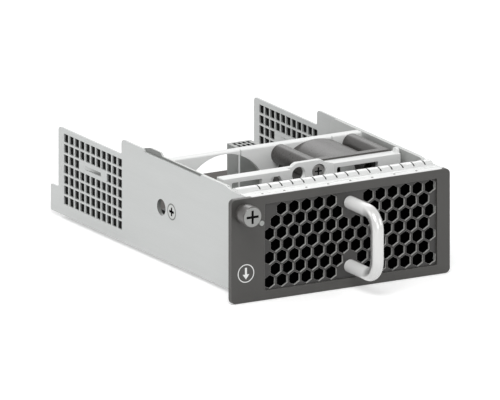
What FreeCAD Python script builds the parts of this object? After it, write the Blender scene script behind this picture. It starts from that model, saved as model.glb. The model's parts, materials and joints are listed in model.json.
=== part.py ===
import FreeCAD, Part
import math
import os

# A slide-in fan tray for a network switch: a sheet metal tray with perforated rear
# cheeks, a honeycomb bezel with a bar handle and a captive screw, and a two-bay fan
# cage that holds one 40 mm tube-axial fan in its right bay.
# Sizes are in millimetres. X runs right from the bezel's left edge, Y runs back from
# its front face and Z runs up from its bottom edge. save() moves the finished solids
# so that the origin is the middle of the whole tray's footprint.

# Bezel, whose width and height follow from the tray and the fans
bezel_t = 2.2
bezel_below_fan_top = 0.2
bezel_corner_r = 2.0
window_left = 15.1
window_right = 5.7
window_bottom = 3.7
window_top = 3.4
frame_window_gap = 0.4
strip_rebate = 0.5

# Honeycomb grille
hex_flat = 4.75
hex_web = 0.79
grille_t = 1.3
grille_gap = 0.05

# Sheet metal tray
sheet_t = 0.8
tray_left_inset = 8.4
tray_right_inset = 1.2
tray_ground = 1.4
tray_step_y = 100.0
tray_rear_y = 149.0
tray_tab_y = 155.0
rear_cheek_h = 35.0
tab_h = 10.6
wall_over_fan = 0.3
floor_lip_h = 2.8
top_flange_d = 11.2
bottom_flange_d = 6.0
notch_depth = 1.0
notch_y0 = 38.0
notch_y1 = 83.0

# Square vents of the rear cheeks
vent = 3.35
vent_pitch = 4.17
vent_cols = 11
vent_rows = 7
vent_rear_margin = 4.25
vent_bottom_margin = 4.6
tongue_len = 12.2
tongue_h = 1.6
tongue_lift = 1.3

# Spring finger strip on the top flange
strip_t = 0.25
strip_flat = 7.8
strip_arch = 6.4
strip_rise = 1.45
finger_pitch = 4.94
finger_slit = 0.6
strip_side_gap = 1.2

# Fan cage
cage_t = 0.8
cage_front_y = 4.6
cage_rear_y = 88.4
cage_ear_y0 = 69.5
cage_ear_y1 = 84.0
cage_ear_rise = 1.3
front_duct_y = 30.1
front_duct_d = 5.5
duct_wall = 2.2
duct_rim_t = 1.4
duct_top_drop = 0.7
duct_bar_h = 2.9
inlet_half_w = 17.0
inlet_foot_half_w = 12.0
inlet_sill = 4.0
inlet_shoulder = 6.0
pad_w = 15.8
pad_over_fan = 0.6
gusset_t = 1.2
gusset_h = 6.0
access_r = 3.0
rear_plate_t = 2.0
rear_lip_d = 4.0
rear_lip_h = 1.0
cage_bore_margin = 0.8
guard_bar_w = 0.8
guard_bar_offset = 6.6
guard_slit_w = 0.5
bay_gap = 1.0
left_bay_gap = 3.6
fan_side_gap = 0.8
fit_gap = 0.05

# Tube-axial fan
fan_size = 40.0
fan_len = 28.0
fan_flange_t = 3.2
fan_hole_inset = 4.0
fan_tube_r = 4.0
fan_bore_margin = 1.3
fan_screw_r = 1.5
blade_count = 7
blade_tip_gap = 0.5
blade_t = 1.1
blade_runs = 6
blade_root_turn = 7.4
blade_tip_turn = 12.4
blade_root_camber = 1.5
blade_tip_camber = 1.2
blade_root_margin = 1.9
blade_tip_margin = 3.15
hub_r = 10.0
hub_wall = 0.8
hub_front_gap = 2.0
hub_rear_gap = 2.1
hub_face_t = 1.4
hub_boss_len = 3.6
yoke_gap = 0.4
yoke_wall = 0.5
magnet_end_gap = 1.0
magnet_t = 0.8
stator_gap = 0.3
stator_len = 9.0
stator_end_inset = 1.5
pole_count = 4
pole_neck_w = 1.6
pole_shoe_w = 7.2
pole_shoe_t = 0.9
coil_w = 4.0
coil_end_inset = 0.7
motor_base_t = 2.6
motor_board_t = 1.2
strut_count = 4
strut_w = 2.2
shaft_r = 1.5
bearing_r = 3.0
bearing_len = 3.0
bearing_tube_wall = 0.9
running_gap = 0.03

# Handle
handle_r = 2.6
handle_pitch = 25.6
handle_reach = 22.9
handle_bend_r = 7.0
handle_screw_r = 1.5
handle_screw_bite = 6.0
handle_hole_spare = 0.2
handle_head_r = 2.75
handle_head_h = 1.8

# Captive screw
lock_x = 5.5
lock_from_top = 5.8
knob_r = 4.2
knob_reach = 7.1
knob_end_t = 1.2
knob_skirt_t = 0.45
lock_travel = 2.2
lock_stop_gap = 0.3
lock_r = 1.5
lock_neck_r = 1.15
lock_thread_len = 3.3
collar_wall = 0.8
collar_floor_t = 1.0
collar_neck_r = 2.4
collar_flange_r = 2.6
collar_flange_t = 0.7
lock_clearance = 0.05
washer_r = 2.6
washer_t = 0.5
spring_r = 2.1
spring_wire_r = 0.25
spring_turns = 3
coil_facets = 12

# Status light
light_x = 13.6
light_from_top = 10.9
light_r = 1.05
light_proud = 0.3
led_r = 1.5
led_len = 3.0
led_board_y = 13.0
led_board_t = 1.2
led_board_h = 8.0
led_board_w = 8.0

# Dust foam behind the grille
foam_t = 3.0
foam_gap = 0.2

# Board at the rear
board_t = 1.6
board_lift = 4.4
board_gap = 4.0
board_front_gap = 3.4
board_rear_y = 150.0
standoff_r = 2.5
board_screw_r = 1.25
board_head_h = 1.6
board_screw_inset = 5.0
terminal_x = 44.2
terminal_front_gap = 2.6
terminal_w = 10.6
terminal_d = 8.6
terminal_below_fan_top = 1.6
plug_x = 26.0
plug_w = 28.0
plug_d = 13.0
plug_h = 8.4
plug_overhang = 3.0
plug_wall = 1.6
plug_floor_d = 3.0
contact_count = 10
contact_w = 0.8
contact_t = 0.5
contact_recess = 1.5
capacitor_r = 4.0
capacitor_h = 12.0
capacitor_chamfer = 0.4
capacitor_from_terminal = 12.0
capacitor_pitch = 12.0
capacitor_from_front = 26.0

# Small fasteners
side_screw_before_plate = 2.6
side_hole_after_plate = 5.4
side_hole_r = 3.3
side_head_r = 3.35
side_head_h = 1.1
side_screw_r = 1.5
side_screw_len = 1.9
bezel_screw_r = 1.0
bezel_head_r = 1.7
bezel_head_h = 1.2
bezel_screw_bite = 1.2

# Places that follow from the sizes above
floor_top = tray_ground + sheet_t
fan_z = floor_top + fan_size / 2
fan_top = floor_top + fan_size
fan_bore_r = fan_size / 2 - fan_bore_margin
cage_bore_r = fan_size / 2 - cage_bore_margin
fan_hole_pitch = fan_size - 2 * fan_hole_inset
wall_top = fan_top + wall_over_fan
bezel_h = fan_top - bezel_below_fan_top
flange_top = bezel_h - strip_rebate
tray_x0 = tray_left_inset
inner_x0 = tray_x0 + sheet_t
cage_x0 = inner_x0 + cage_t
left_bay_x = cage_x0 + left_bay_gap + fan_size / 2
right_bay_x = left_bay_x + fan_size + bay_gap
cage_x1 = right_bay_x + fan_size / 2 + fan_side_gap
inner_x1 = cage_x1 + cage_t
tray_x1 = inner_x1 + sheet_t
bezel_w = tray_x1 + tray_right_inset
frame_y = bezel_t
wall_y0 = frame_y + sheet_t
flange_y1 = wall_y0 + top_flange_d
fan_y = front_duct_y + front_duct_d
fan_end = fan_y + fan_len
rear_plate_y = fan_end
board_front_y = rear_plate_y + rear_plate_t + board_front_gap
terminal_y = board_front_y + terminal_front_gap
side_screw_y = rear_plate_y - side_screw_before_plate
side_hole_y = rear_plate_y + side_hole_after_plate
duct_top = fan_top - duct_top_drop
pad_top = fan_top + pad_over_fan
pad_x = (left_bay_x + right_bay_x) / 2
duct_wall_y = fan_y - duct_wall
window_x0 = window_left
window_x1 = bezel_w - window_right
window_z0 = window_bottom
window_z1 = bezel_h - window_top
window_x = (window_x0 + window_x1) / 2
window_z = (window_z0 + window_z1) / 2
grille_y = bezel_t - grille_t
board_z = floor_top + board_lift
board_top = board_z + board_t
board_x0 = inner_x0 + board_gap
board_x1 = inner_x1 - board_gap
lock_z = bezel_h - lock_from_top
light_z = bezel_h - light_from_top
terminal_top = fan_top - terminal_below_fan_top
hub_len = fan_len - hub_front_gap - hub_rear_gap - motor_base_t
origin_x = bezel_w / 2
origin_y = (tray_tab_y - handle_reach) / 2

os.makedirs("parts", exist_ok=True)


def vec(x, y, z):
    return FreeCAD.Vector(x, y, z)


def save(name, shape):
    """Moves a finished node to the tray's own origin and writes it."""
    placed = shape.copy()
    placed.translate(vec(-origin_x, -origin_y, 0))
    placed.exportStep("parts/" + name + ".step")


def box(x0, x1, y0, y1, z0, z1):
    return Part.makeBox(x1 - x0, y1 - y0, z1 - z0, vec(x0, y0, z0))


def rod_y(x, z, r, y0, y1):
    return Part.makeCylinder(r, y1 - y0, vec(x, y0, z), vec(0, 1, 0))


def rod_x(y, z, r, x0, x1):
    return Part.makeCylinder(r, x1 - x0, vec(x0, y, z), vec(1, 0, 0))


def rod_z(x, y, r, z0, z1):
    return Part.makeCylinder(r, z1 - z0, vec(x, y, z0), vec(0, 0, 1))


def tube_y(x, z, r_out, r_in, y0, y1):
    return rod_y(x, z, r_out, y0, y1).cut(rod_y(x, z, r_in, y0 - 1, y1 + 1))


def group(shapes):
    return Part.makeCompound(shapes)


def outline(points, to_space):
    """Closed face through corners (u, v) or (u, v, radius); to_space places a corner."""
    count = len(points)
    starts = []
    ends = []
    middles = []
    for i in range(count):
        corner = vec(points[i][0], points[i][1], 0)
        before = vec(points[i - 1][0], points[i - 1][1], 0) - corner
        after = vec(points[(i + 1) % count][0], points[(i + 1) % count][1], 0) - corner
        radius = points[i][2] if len(points[i]) > 2 else 0
        if radius <= 0:
            starts.append(corner)
            ends.append(corner)
            middles.append(None)
            continue
        before.normalize()
        after.normalize()
        half = before.getAngle(after) / 2
        reach = radius / math.tan(half)
        inward = before + after
        inward.normalize()
        centre = corner + inward * (radius / math.sin(half))
        starts.append(corner + before * reach)
        ends.append(corner + after * reach)
        middles.append(centre - inward * radius)
    edges = []
    for i in range(count):
        if middles[i] is not None:
            arc = Part.Arc(to_space(starts[i]), to_space(middles[i]), to_space(ends[i]))
            edges.append(arc.toShape())
        following = starts[(i + 1) % count]
        if (following - ends[i]).Length > 1e-6:
            edges.append(Part.LineSegment(to_space(ends[i]), to_space(following)).toShape())
    return Part.Face(Part.Wire(edges))


def plate_y(points, y0, y1):
    """Prism along Y from an outline in X and Z."""
    return outline(points, lambda p: vec(p.x, y0, p.y)).extrude(vec(0, y1 - y0, 0))


def plate_x(points, x0, x1):
    """Prism along X from an outline in Y and Z."""
    return outline(points, lambda p: vec(x0, p.x, p.y)).extrude(vec(x1 - x0, 0, 0))


def plate_z(points, z0, z1):
    """Prism along Z from an outline in X and Y."""
    return outline(points, lambda p: vec(p.x, p.y, z0)).extrude(vec(0, 0, z1 - z0))


def rectangle(u0, u1, v0, v1, radius=0):
    return [(u0, v0, radius), (u1, v0, radius), (u1, v1, radius), (u0, v1, radius)]


def bezel_screw_places():
    """The four screws that hold the bezel to the sheet metal frame, from behind."""
    left = (inner_x0 + window_x0) / 2
    right = (window_x1 + inner_x1) / 2
    low = window_z0 + 4.3
    return [(left, low), (left, window_z), (right, low), (right, window_z1 - 4.3)]


def handle_places():
    return [(window_x, window_z - handle_pitch / 2), (window_x, window_z + handle_pitch / 2)]


def make_bezel():
    body = plate_y(rectangle(0, bezel_w, 0, bezel_h, bezel_corner_r), 0, bezel_t)
    window = plate_y(rectangle(window_x0, window_x1, window_z0, window_z1, 0.6), -1, bezel_t + 1)
    rebate = box(tray_x0 + strip_side_gap, tray_x1 - strip_side_gap, strip_rebate, bezel_t + 1,
                 flange_top, bezel_h + 1)
    body = body.cut(window).cut(rebate)
    body = body.cut(rod_y(lock_x, lock_z, collar_neck_r + fit_gap, -1, bezel_t + 1))
    body = body.cut(rod_y(light_x, light_z, light_r + fit_gap, -1, bezel_t + 1))
    for x, z in bezel_screw_places():
        depth = bezel_t - bezel_screw_bite
        body = body.cut(rod_y(x, z, bezel_screw_r + fit_gap, depth, bezel_t + 1))
    return body


def hexagon(x, z, y0, y1):
    """One cell with a corner at the top, as wide as hex_flat across its upright sides."""
    corner_r = hex_flat / math.sqrt(3)
    corners = []
    for k in range(6):
        turn = math.radians(90 + 60 * k)
        corners.append((x + corner_r * math.cos(turn), z + corner_r * math.sin(turn)))
    return plate_y(corners, y0, y1)


def honeycomb_cells(y0, y1):
    """Staggered cells, left out where the handle is screwed on and under the status mark."""
    pitch = hex_flat + hex_web
    row_pitch = pitch * math.sin(math.radians(60))
    corner_r = hex_flat / math.sqrt(3)
    width = window_x1 - window_x0 - 2 * grille_gap
    height = window_z1 - window_z0 - 2 * grille_gap
    cols = int((width - hex_flat) / pitch) + 1
    rows = int((height - 2 * corner_r) / row_pitch) + 1
    keep_clear = handle_head_r + hex_flat / 2 - 0.6
    cells = []
    for row in range(rows):
        shifted = row % 2
        z = window_z + row_pitch * ((rows - 1) / 2 - row)
        for col in range(cols - shifted):
            x = window_x + pitch * (col - (cols - 1 - shifted) / 2)
            near = min(math.hypot(x - px, z - pz) for px, pz in handle_places())
            under_mark = row == 0 and col == 0
            if near > keep_clear and not under_mark:
                cells.append(hexagon(x, z, y0, y1))
    return cells


def make_grille():
    gap = grille_gap
    edge = rectangle(window_x0 + gap, window_x1 - gap, window_z0 + gap, window_z1 - gap, 0.6)
    body = plate_y(edge, grille_y, bezel_t)
    body = body.cut(group(honeycomb_cells(grille_y - 1, bezel_t + 1)))
    for x, z in handle_places():
        body = body.cut(rod_y(x, z, handle_screw_r + fit_gap, grille_y - 1, bezel_t + 1))
    return body


def make_foam():
    """Dark open-cell dust foam that lies behind the grille, inside the frame's window."""
    x0 = window_x0 + frame_window_gap + foam_gap
    x1 = window_x1 - frame_window_gap - foam_gap
    z0 = window_z0 + frame_window_gap + foam_gap
    z1 = window_z1 - frame_window_gap - foam_gap
    body = plate_y(rectangle(x0, x1, z0, z1, 1.0), bezel_t, bezel_t + foam_t)
    for x, z in handle_places():
        body = body.cut(rod_y(x, z, handle_head_r + foam_gap, 0, bezel_t + foam_t + 1))
    return body


def make_front_frame():
    """Folded sheet behind the bezel: an upright window plate with a top and a bottom flange."""
    plate = plate_y(rectangle(tray_x0, tray_x1, tray_ground, flange_top, 0.8), frame_y, wall_y0)
    gap = frame_window_gap
    plate = plate.cut(plate_y(rectangle(window_x0 + gap, window_x1 - gap, window_z0 + gap,
                                        window_z1 - gap, 1.2), frame_y - 1, wall_y0 + 1))
    top = plate_z(rectangle(inner_x0 + fit_gap, inner_x1 - fit_gap, wall_y0, flange_y1, 0),
                  flange_top - sheet_t, flange_top)
    bottom_x0 = cage_x0 + 0.2
    bottom_x1 = cage_x1 - 0.2
    bottom = plate_z([(bottom_x0, wall_y0), (bottom_x1, wall_y0),
                      (bottom_x1, wall_y0 + bottom_flange_d, 2.0),
                      (bottom_x0, wall_y0 + bottom_flange_d, 2.0)], floor_top, floor_top + sheet_t)
    body = plate.fuse(top).fuse(bottom)
    body = body.cut(rod_y(light_x, light_z, light_r + 0.15, frame_y - 1, wall_y0 + 1))
    for x, z in bezel_screw_places():
        body = body.cut(rod_y(x, z, bezel_screw_r + fit_gap, frame_y - 1, wall_y0 + 1))
    return body.removeSplitter()


def make_floor():
    """Floor pan with a low upturned lip along each cheek."""
    body = box(inner_x0, inner_x1, wall_y0, tray_rear_y, tray_ground, floor_top)
    for x in (inner_x0, inner_x1 - sheet_t):
        body = body.fuse(box(x, x + sheet_t, wall_y0, tray_rear_y, floor_top,
                             floor_top + floor_lip_h))
    for x, y in board_screw_places():
        body = body.cut(rod_z(x, y, board_screw_r + fit_gap, tray_ground - 1, floor_top + 1))
    return body.removeSplitter()


def wall_outline(notched):
    """Side view of a cheek: low at the bezel, high along the cage, lower at the vents."""
    rear_top = tray_ground + rear_cheek_h
    tab_top = tray_ground + tab_h
    notch = [(notch_y0, wall_top, 0.4), (notch_y0 + 0.8, wall_top - notch_depth, 0.4),
             (notch_y1 - 0.8, wall_top - notch_depth, 0.4), (notch_y1, wall_top, 0.4)]
    front = [(wall_y0, tray_ground), (wall_y0, flange_top), (flange_y1, flange_top, 1.0),
             (flange_y1 + 5.6, wall_top, 1.0)]
    rear = [(tray_step_y, wall_top, 1.8), (tray_step_y, rear_top, 0.8),
            (tray_rear_y, rear_top, 1.6), (tray_rear_y, tab_top, 0.8),
            (tray_tab_y, tab_top, 0.8), (tray_tab_y, tray_ground, 0.8)]
    return front + (notch if notched else []) + rear


def vent_place(col, row):
    y = tray_rear_y - vent_rear_margin - vent - vent_pitch * (vent_cols - 1 - col)
    z = tray_ground + vent_bottom_margin + vent_pitch * row
    return y, z


def is_blank(col, row):
    """The lanced tongue takes the middle of the third row from the top."""
    middle = (vent_cols - 1) / 2
    return row == vent_rows - 3 and abs(col - middle) <= 2


def make_wall(side):
    """side is -1 for the left cheek and 1 for the right one."""
    left = side < 0
    x0 = tray_x0 if left else inner_x1
    x1 = inner_x0 if left else tray_x1
    outer = tray_x0 if left else tray_x1
    body = plate_x(wall_outline(left), x0, x1)
    vents = []
    for col in range(vent_cols):
        for row in range(vent_rows):
            if not is_blank(col, row):
                y, z = vent_place(col, row)
                vents.append(box(x0 - 1, x1 + 1, y, y + vent, z, z + vent))
    body = body.cut(group(vents))
    y_mid = vent_place((vent_cols - 1) / 2, 0)[0] + vent / 2
    z_mid = vent_place(0, vent_rows - 3)[1] + vent / 2
    y0 = y_mid - tongue_len / 2
    y1 = y_mid + tongue_len / 2
    z0 = z_mid - tongue_h / 2
    z1 = z_mid + tongue_h / 2
    body = body.cut(box(x0 - 1, x1 + 1, y0, y1, z0, z1))
    inward = -side * tongue_lift
    flap = [(outer, y1), (outer + inward, y0 + 0.3), (outer + inward - side * sheet_t, y0 + 0.3),
            (outer - side * sheet_t, y1)]
    body = body.fuse(plate_z(flap, z0 + 0.1, z1 - 0.1))
    body = body.cut(rod_x(side_hole_y, fan_z, side_hole_r, x0 - 1, x1 + 1))
    return body.cut(side_screw(side, fit_gap)).removeSplitter()


def side_screw(side, gap):
    """Countersunk screw through a cheek and the cage plate behind it."""
    outer = tray_x0 if side < 0 else tray_x1
    inward = vec(-side, 0, 0)
    start = vec(outer, side_screw_y, fan_z)
    head = Part.makeCone(side_head_r + gap, side_screw_r + gap, side_head_h, start, inward)
    shank = Part.makeCylinder(side_screw_r + gap, side_screw_len + gap, start, inward)
    screw = head.fuse(shank).removeSplitter()
    if gap == 0:
        screw = screw.cut(cross_recess(start, inward, 1.9, 0.38, 0.9))
    return screw


def make_cage_plate(side):
    """Side plate of the fan cage, against the inside of a cheek."""
    left = side < 0
    x0 = inner_x0 if left else cage_x1
    low = floor_top + floor_lip_h + 0.2
    front_top = flange_top - sheet_t - 0.2
    top = wall_top - 0.1
    hump = [(cage_ear_y0, top, 0.6), (cage_ear_y0 + 1.6, top + cage_ear_rise, 1.2),
            (cage_ear_y1 - 5.0, top + cage_ear_rise, 2.0), (cage_ear_y1, top, 0.6)]
    front = [(cage_front_y, low), (cage_front_y, front_top), (flange_y1 + 0.6, front_top, 0.5),
             (flange_y1 + 4.0, top, 1.0)]
    rear = [(cage_rear_y, top, 4.0), (cage_rear_y, low, 4.0)]
    body = plate_x(front + (hump if left else []) + rear, x0, x0 + cage_t)
    body = body.cut(rod_x(side_hole_y, fan_z, side_hole_r, x0 - 1, x0 + cage_t + 1))
    return body.cut(side_screw(side, fit_gap))


def make_strip():
    """Spring finger strip: a flat band clipped on the top flange, with arched fingers behind."""
    x0 = tray_x0 + strip_side_gap + fit_gap
    x1 = tray_x1 - strip_side_gap - fit_gap
    y0 = strip_rebate + fit_gap
    y1 = y0 + strip_flat
    y2 = y1 + strip_arch
    z0 = flange_top

    def corner(y, z):
        return vec(x0, y, z)

    def line(a, b):
        return Part.LineSegment(a, b).toShape()

    y_top = (y1 + y2) / 2
    under = Part.Arc(corner(y1, z0), corner(y_top, z0 + strip_rise), corner(y2, z0)).toShape()
    over = Part.Arc(corner(y2, z0 + strip_t), corner(y_top, z0 + strip_rise + strip_t),
                    corner(y1, z0 + strip_t)).toShape()
    edges = [line(corner(y0, z0), corner(y1, z0)), under,
             line(corner(y2, z0), corner(y2, z0 + strip_t)), over,
             line(corner(y1, z0 + strip_t), corner(y0, z0 + strip_t)),
             line(corner(y0, z0 + strip_t), corner(y0, z0))]
    body = Part.Face(Part.Wire(edges)).extrude(vec(x1 - x0, 0, 0))
    count = int((x1 - x0) / finger_pitch)
    first = x0 + ((x1 - x0) - (count - 1) * finger_pitch) / 2
    slits = []
    for k in range(count):
        x = first + k * finger_pitch
        slits.append(box(x - finger_slit / 2, x + finger_slit / 2, y1 + 0.4, y2 + 1, z0 - 1,
                         z0 + strip_rise + 2))
    return body.cut(group(slits))


def duct_window(points):
    return plate_y(points, duct_wall_y - 1, fan_y + 1)


def left_inlet_windows():
    """Two cut-outs before the left bay: a tall one, and one with a narrow raised neck."""
    top = duct_top - duct_bar_h
    low = floor_top + inlet_sill
    x = left_bay_x
    side = x + inlet_half_w
    tall = [(x - 14.4, low, 2.0), (x - 1.0, low, 1.0), (x - 1.0, top, 1.0), (x - 14.4, top, 1.0)]
    necked = [(x + 2.4, low, 1.0), (side - 3, low, 2.0), (side, low + inlet_shoulder, 2.0),
              (side, top - 10.4, 2.0), (x + 9.6, top - 3.4, 1.0), (x + 7.8, top, 0.5),
              (x + 3.0, top, 0.5), (x + 2.4, top - 1.7, 0.5)]
    return [duct_window(tall), duct_window(necked)]


def right_inlet_window():
    """One wide cut-out before the right bay, following the fan's round inlet."""
    top = duct_top - duct_bar_h
    low = floor_top + inlet_sill
    x = right_bay_x
    left = x - inlet_half_w
    right = x + inlet_half_w
    shoulder = low + inlet_shoulder
    edge = [(x - inlet_foot_half_w, low, 2.0), (x + inlet_foot_half_w, low, 2.0),
            (right, shoulder, 2.0), (right, top - 8.6, 2.0), (x + 10.6, top - 2.6, 1.0),
            (x + 10.6, top, 0.5), (x - 8.6, top, 0.5), (x - 8.6, top - 4.6, 1.0),
            (left, top - 10.6, 2.0), (left, shoulder, 2.0)]
    return duct_window(edge)


def make_front_duct():
    """Moulded front of the cage: a wall against the fans with a rim all round it, a raised
    screw pad between the bays, and cut-outs that let the air through."""
    x0 = cage_x0 + fit_gap
    x1 = cage_x1 - fit_gap
    rim = duct_rim_t
    body = plate_y([(x0, floor_top), (x1, floor_top), (x1, duct_top), (x0, duct_top, 2.4)],
                   front_duct_y, fan_y)
    body = body.cut(box(x0 + rim, x1 - rim, front_duct_y - 1, duct_wall_y, floor_top + rim,
                        duct_top - rim))
    pad_x0 = pad_x - pad_w / 2
    pad_x1 = pad_x + pad_w / 2
    gap_in_rim = box(pad_x0, pad_x1, front_duct_y - 1, duct_wall_y, duct_top - rim - 1,
                     pad_top + 1)
    pad = plate_y([(pad_x0, duct_top - rim - 1), (pad_x1, duct_top - rim - 1),
                   (pad_x1, pad_top, 3.0), (pad_x0, pad_top, 3.0)], duct_wall_y, fan_y)
    body = body.cut(gap_in_rim).fuse(pad)
    low = duct_top - gusset_h
    gusset = plate_x([(front_duct_y, duct_top - rim), (duct_wall_y, duct_top - rim),
                      (duct_wall_y, low), (duct_wall_y - 0.8, low)], pad_x1, pad_x1 + gusset_t)
    body = body.fuse(gusset)
    for window in left_inlet_windows() + [right_inlet_window()]:
        body = body.cut(window)
    for x in (left_bay_x + fan_hole_pitch / 2, right_bay_x - fan_hole_pitch / 2):
        body = body.cut(rod_y(x, fan_z + fan_hole_pitch / 2, access_r, duct_wall_y - 1,
                              fan_y + 1))
    tab_y = front_duct_y + 1.0
    tab = plate_x([(tab_y, duct_top - 1), (tab_y + 3.2, duct_top - 1),
                   (tab_y + 3.2, duct_top + 1.9, 1.0), (tab_y, duct_top + 1.9, 1.0)],
                  x1 - 1.1, x1)
    return body.fuse(tab).removeSplitter()


def make_rear_plate():
    """Rear bulkhead of the cage: an outlet bore for each bay under a folded top lip."""
    x0 = cage_x0 + fit_gap
    x1 = cage_x1 - fit_gap
    y1 = rear_plate_y + rear_plate_t
    lip_low = duct_top - rear_lip_h + 0.7
    body = box(x0, x1, rear_plate_y, y1, floor_top, lip_low)
    for x in (left_bay_x, right_bay_x):
        bore = rod_y(x, fan_z, cage_bore_r, rear_plate_y - 1, y1 + 1)
        bar_x = x + guard_bar_offset
        bar = box(bar_x, bar_x + guard_bar_w, rear_plate_y - 2, y1 + 2, 0, fan_top)
        body = body.cut(bore.cut(bar))
    lip = plate_x([(rear_plate_y, lip_low), (rear_plate_y + rear_lip_d, lip_low, 0.3),
                   (rear_plate_y + rear_lip_d, lip_low + rear_lip_h, 0.3),
                   (rear_plate_y, lip_low + rear_lip_h, 0.6)], x0, x1)
    body = body.fuse(lip)
    for x in (left_bay_x, right_bay_x):
        slit_x = x + guard_bar_offset + guard_bar_w
        body = body.cut(box(slit_x, slit_x + guard_slit_w, rear_plate_y - 1,
                            rear_plate_y + 1.0, lip_low - 4, fan_top + 1))
    screw_x = right_bay_x - fan_hole_pitch / 2
    screw_z = fan_z + fan_hole_pitch / 2
    body = body.cut(rod_y(screw_x, screw_z, fan_screw_r + fit_gap, rear_plate_y - 1, y1 + 1))
    return body.removeSplitter()


def fan_corners():
    reach = fan_hole_pitch / 2
    return [(right_bay_x + dx * reach, fan_z + dz * reach) for dx in (-1, 1) for dz in (-1, 1)]


def make_fan_housing():
    """Fan body: front flange, round barrel with four corner tubes, and the rear spider that
    carries the motor."""
    x = right_bay_x
    half = fan_size / 2
    flange = plate_y(rectangle(x - half, x + half, fan_z - half, fan_z + half, fan_tube_r),
                     fan_y, fan_y + fan_flange_t)
    body = flange.fuse(rod_y(x, fan_z, half, fan_y, fan_end))
    for cx, cz in fan_corners():
        body = body.fuse(rod_y(cx, cz, fan_tube_r, fan_y, fan_end))
    body = body.cut(rod_y(x, fan_z, fan_bore_r, fan_y - 1, fan_end + 1))
    base_y = fan_end - motor_base_t
    spider = rod_y(x, fan_z, hub_r, base_y, fan_end)
    for k in range(strut_count):
        strut = box(x - strut_w / 2, x + strut_w / 2, base_y, fan_end, fan_z + hub_r - 1,
                    fan_z + fan_bore_r + 0.4)
        strut.rotate(vec(x, 0, fan_z), vec(0, 1, 0), 45 + 360 / strut_count * k)
        spider = spider.fuse(strut)
    body = body.fuse(spider)
    for cx, cz in fan_corners():
        body = body.cut(rod_y(cx, cz, fan_screw_r + 0.2, fan_y - 1, fan_end + 1))
    return body.removeSplitter()


def blade_section(r, chord_turn, chord_axial, camber, y_mid):
    """Cambered blade outline on the plane at distance r from the axis, in short straight
    runs that follow an arched line on each face."""
    x = right_bay_x
    z = fan_z + r
    lead = vec(x - chord_turn / 2, y_mid - chord_axial / 2, z)
    trail = vec(x + chord_turn / 2, y_mid + chord_axial / 2, z)
    across = vec(chord_axial, -chord_turn, 0)
    across.normalize()
    points = []
    for k in range(2 * blade_runs + 1):
        outer = k < blade_runs
        along = k / blade_runs if outer else 2 - k / blade_runs
        arch = 4 * along * (1 - along)
        rise = camber + blade_t / 2 if outer else camber - blade_t / 2
        points.append(lead + (trail - lead) * along + across * (rise * arch))
    return Part.makePolygon(points)


def make_impeller():
    """Cup-shaped hub with lofted, twisted blades."""
    x = right_bay_x
    y0, y1, base_y = motor_stations()
    hub = rod_y(x, fan_z, hub_r, y0, y1)
    front = [e for e in hub.Edges if abs(e.CenterOfMass.y - y0) < 1e-3 and e.Closed]
    hub = hub.makeChamfer(0.8, front)
    face_y = y0 + hub_face_t
    boss_y = face_y + hub_boss_len
    hub = hub.cut(rod_y(x, fan_z, hub_r - hub_wall, face_y, y1 + 1))
    boss = rod_y(x, fan_z, shaft_r + 1.4, y0 + hub_face_t / 2, boss_y)
    body = hub.fuse(boss)
    tip_r = fan_bore_r - blade_tip_gap
    sweep = rod_y(x, fan_z, tip_r, y0 - 1, y1 + 1)
    y_mid = (y0 + y1) / 2
    root = blade_section(hub_r - hub_wall / 2, blade_root_turn, hub_len - 2 * blade_root_margin,
                         blade_root_camber, y_mid)
    tip = blade_section(tip_r + blade_tip_gap, blade_tip_turn, hub_len - 2 * blade_tip_margin,
                        blade_tip_camber, y_mid)
    for k in range(blade_count):
        blade = Part.makeLoft([root, tip], True, True).common(sweep)
        blade.rotate(vec(x, 0, fan_z), vec(0, 1, 0), 360 / blade_count * k)
        body = body.fuse(blade)
    body = body.cut(rod_y(x, fan_z, shaft_r, face_y, y1 + 1))
    body = body.cut(rod_y(x, fan_z, hub_r - hub_wall, boss_y, y1 + 1))
    return body.removeSplitter()


def motor_stations():
    """Places along the fan's axis, from the hub to the motor base."""
    hub_y0 = fan_y + hub_front_gap
    hub_y1 = hub_y0 + hub_len
    base_y = fan_end - motor_base_t
    return hub_y0, hub_y1, base_y


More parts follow.
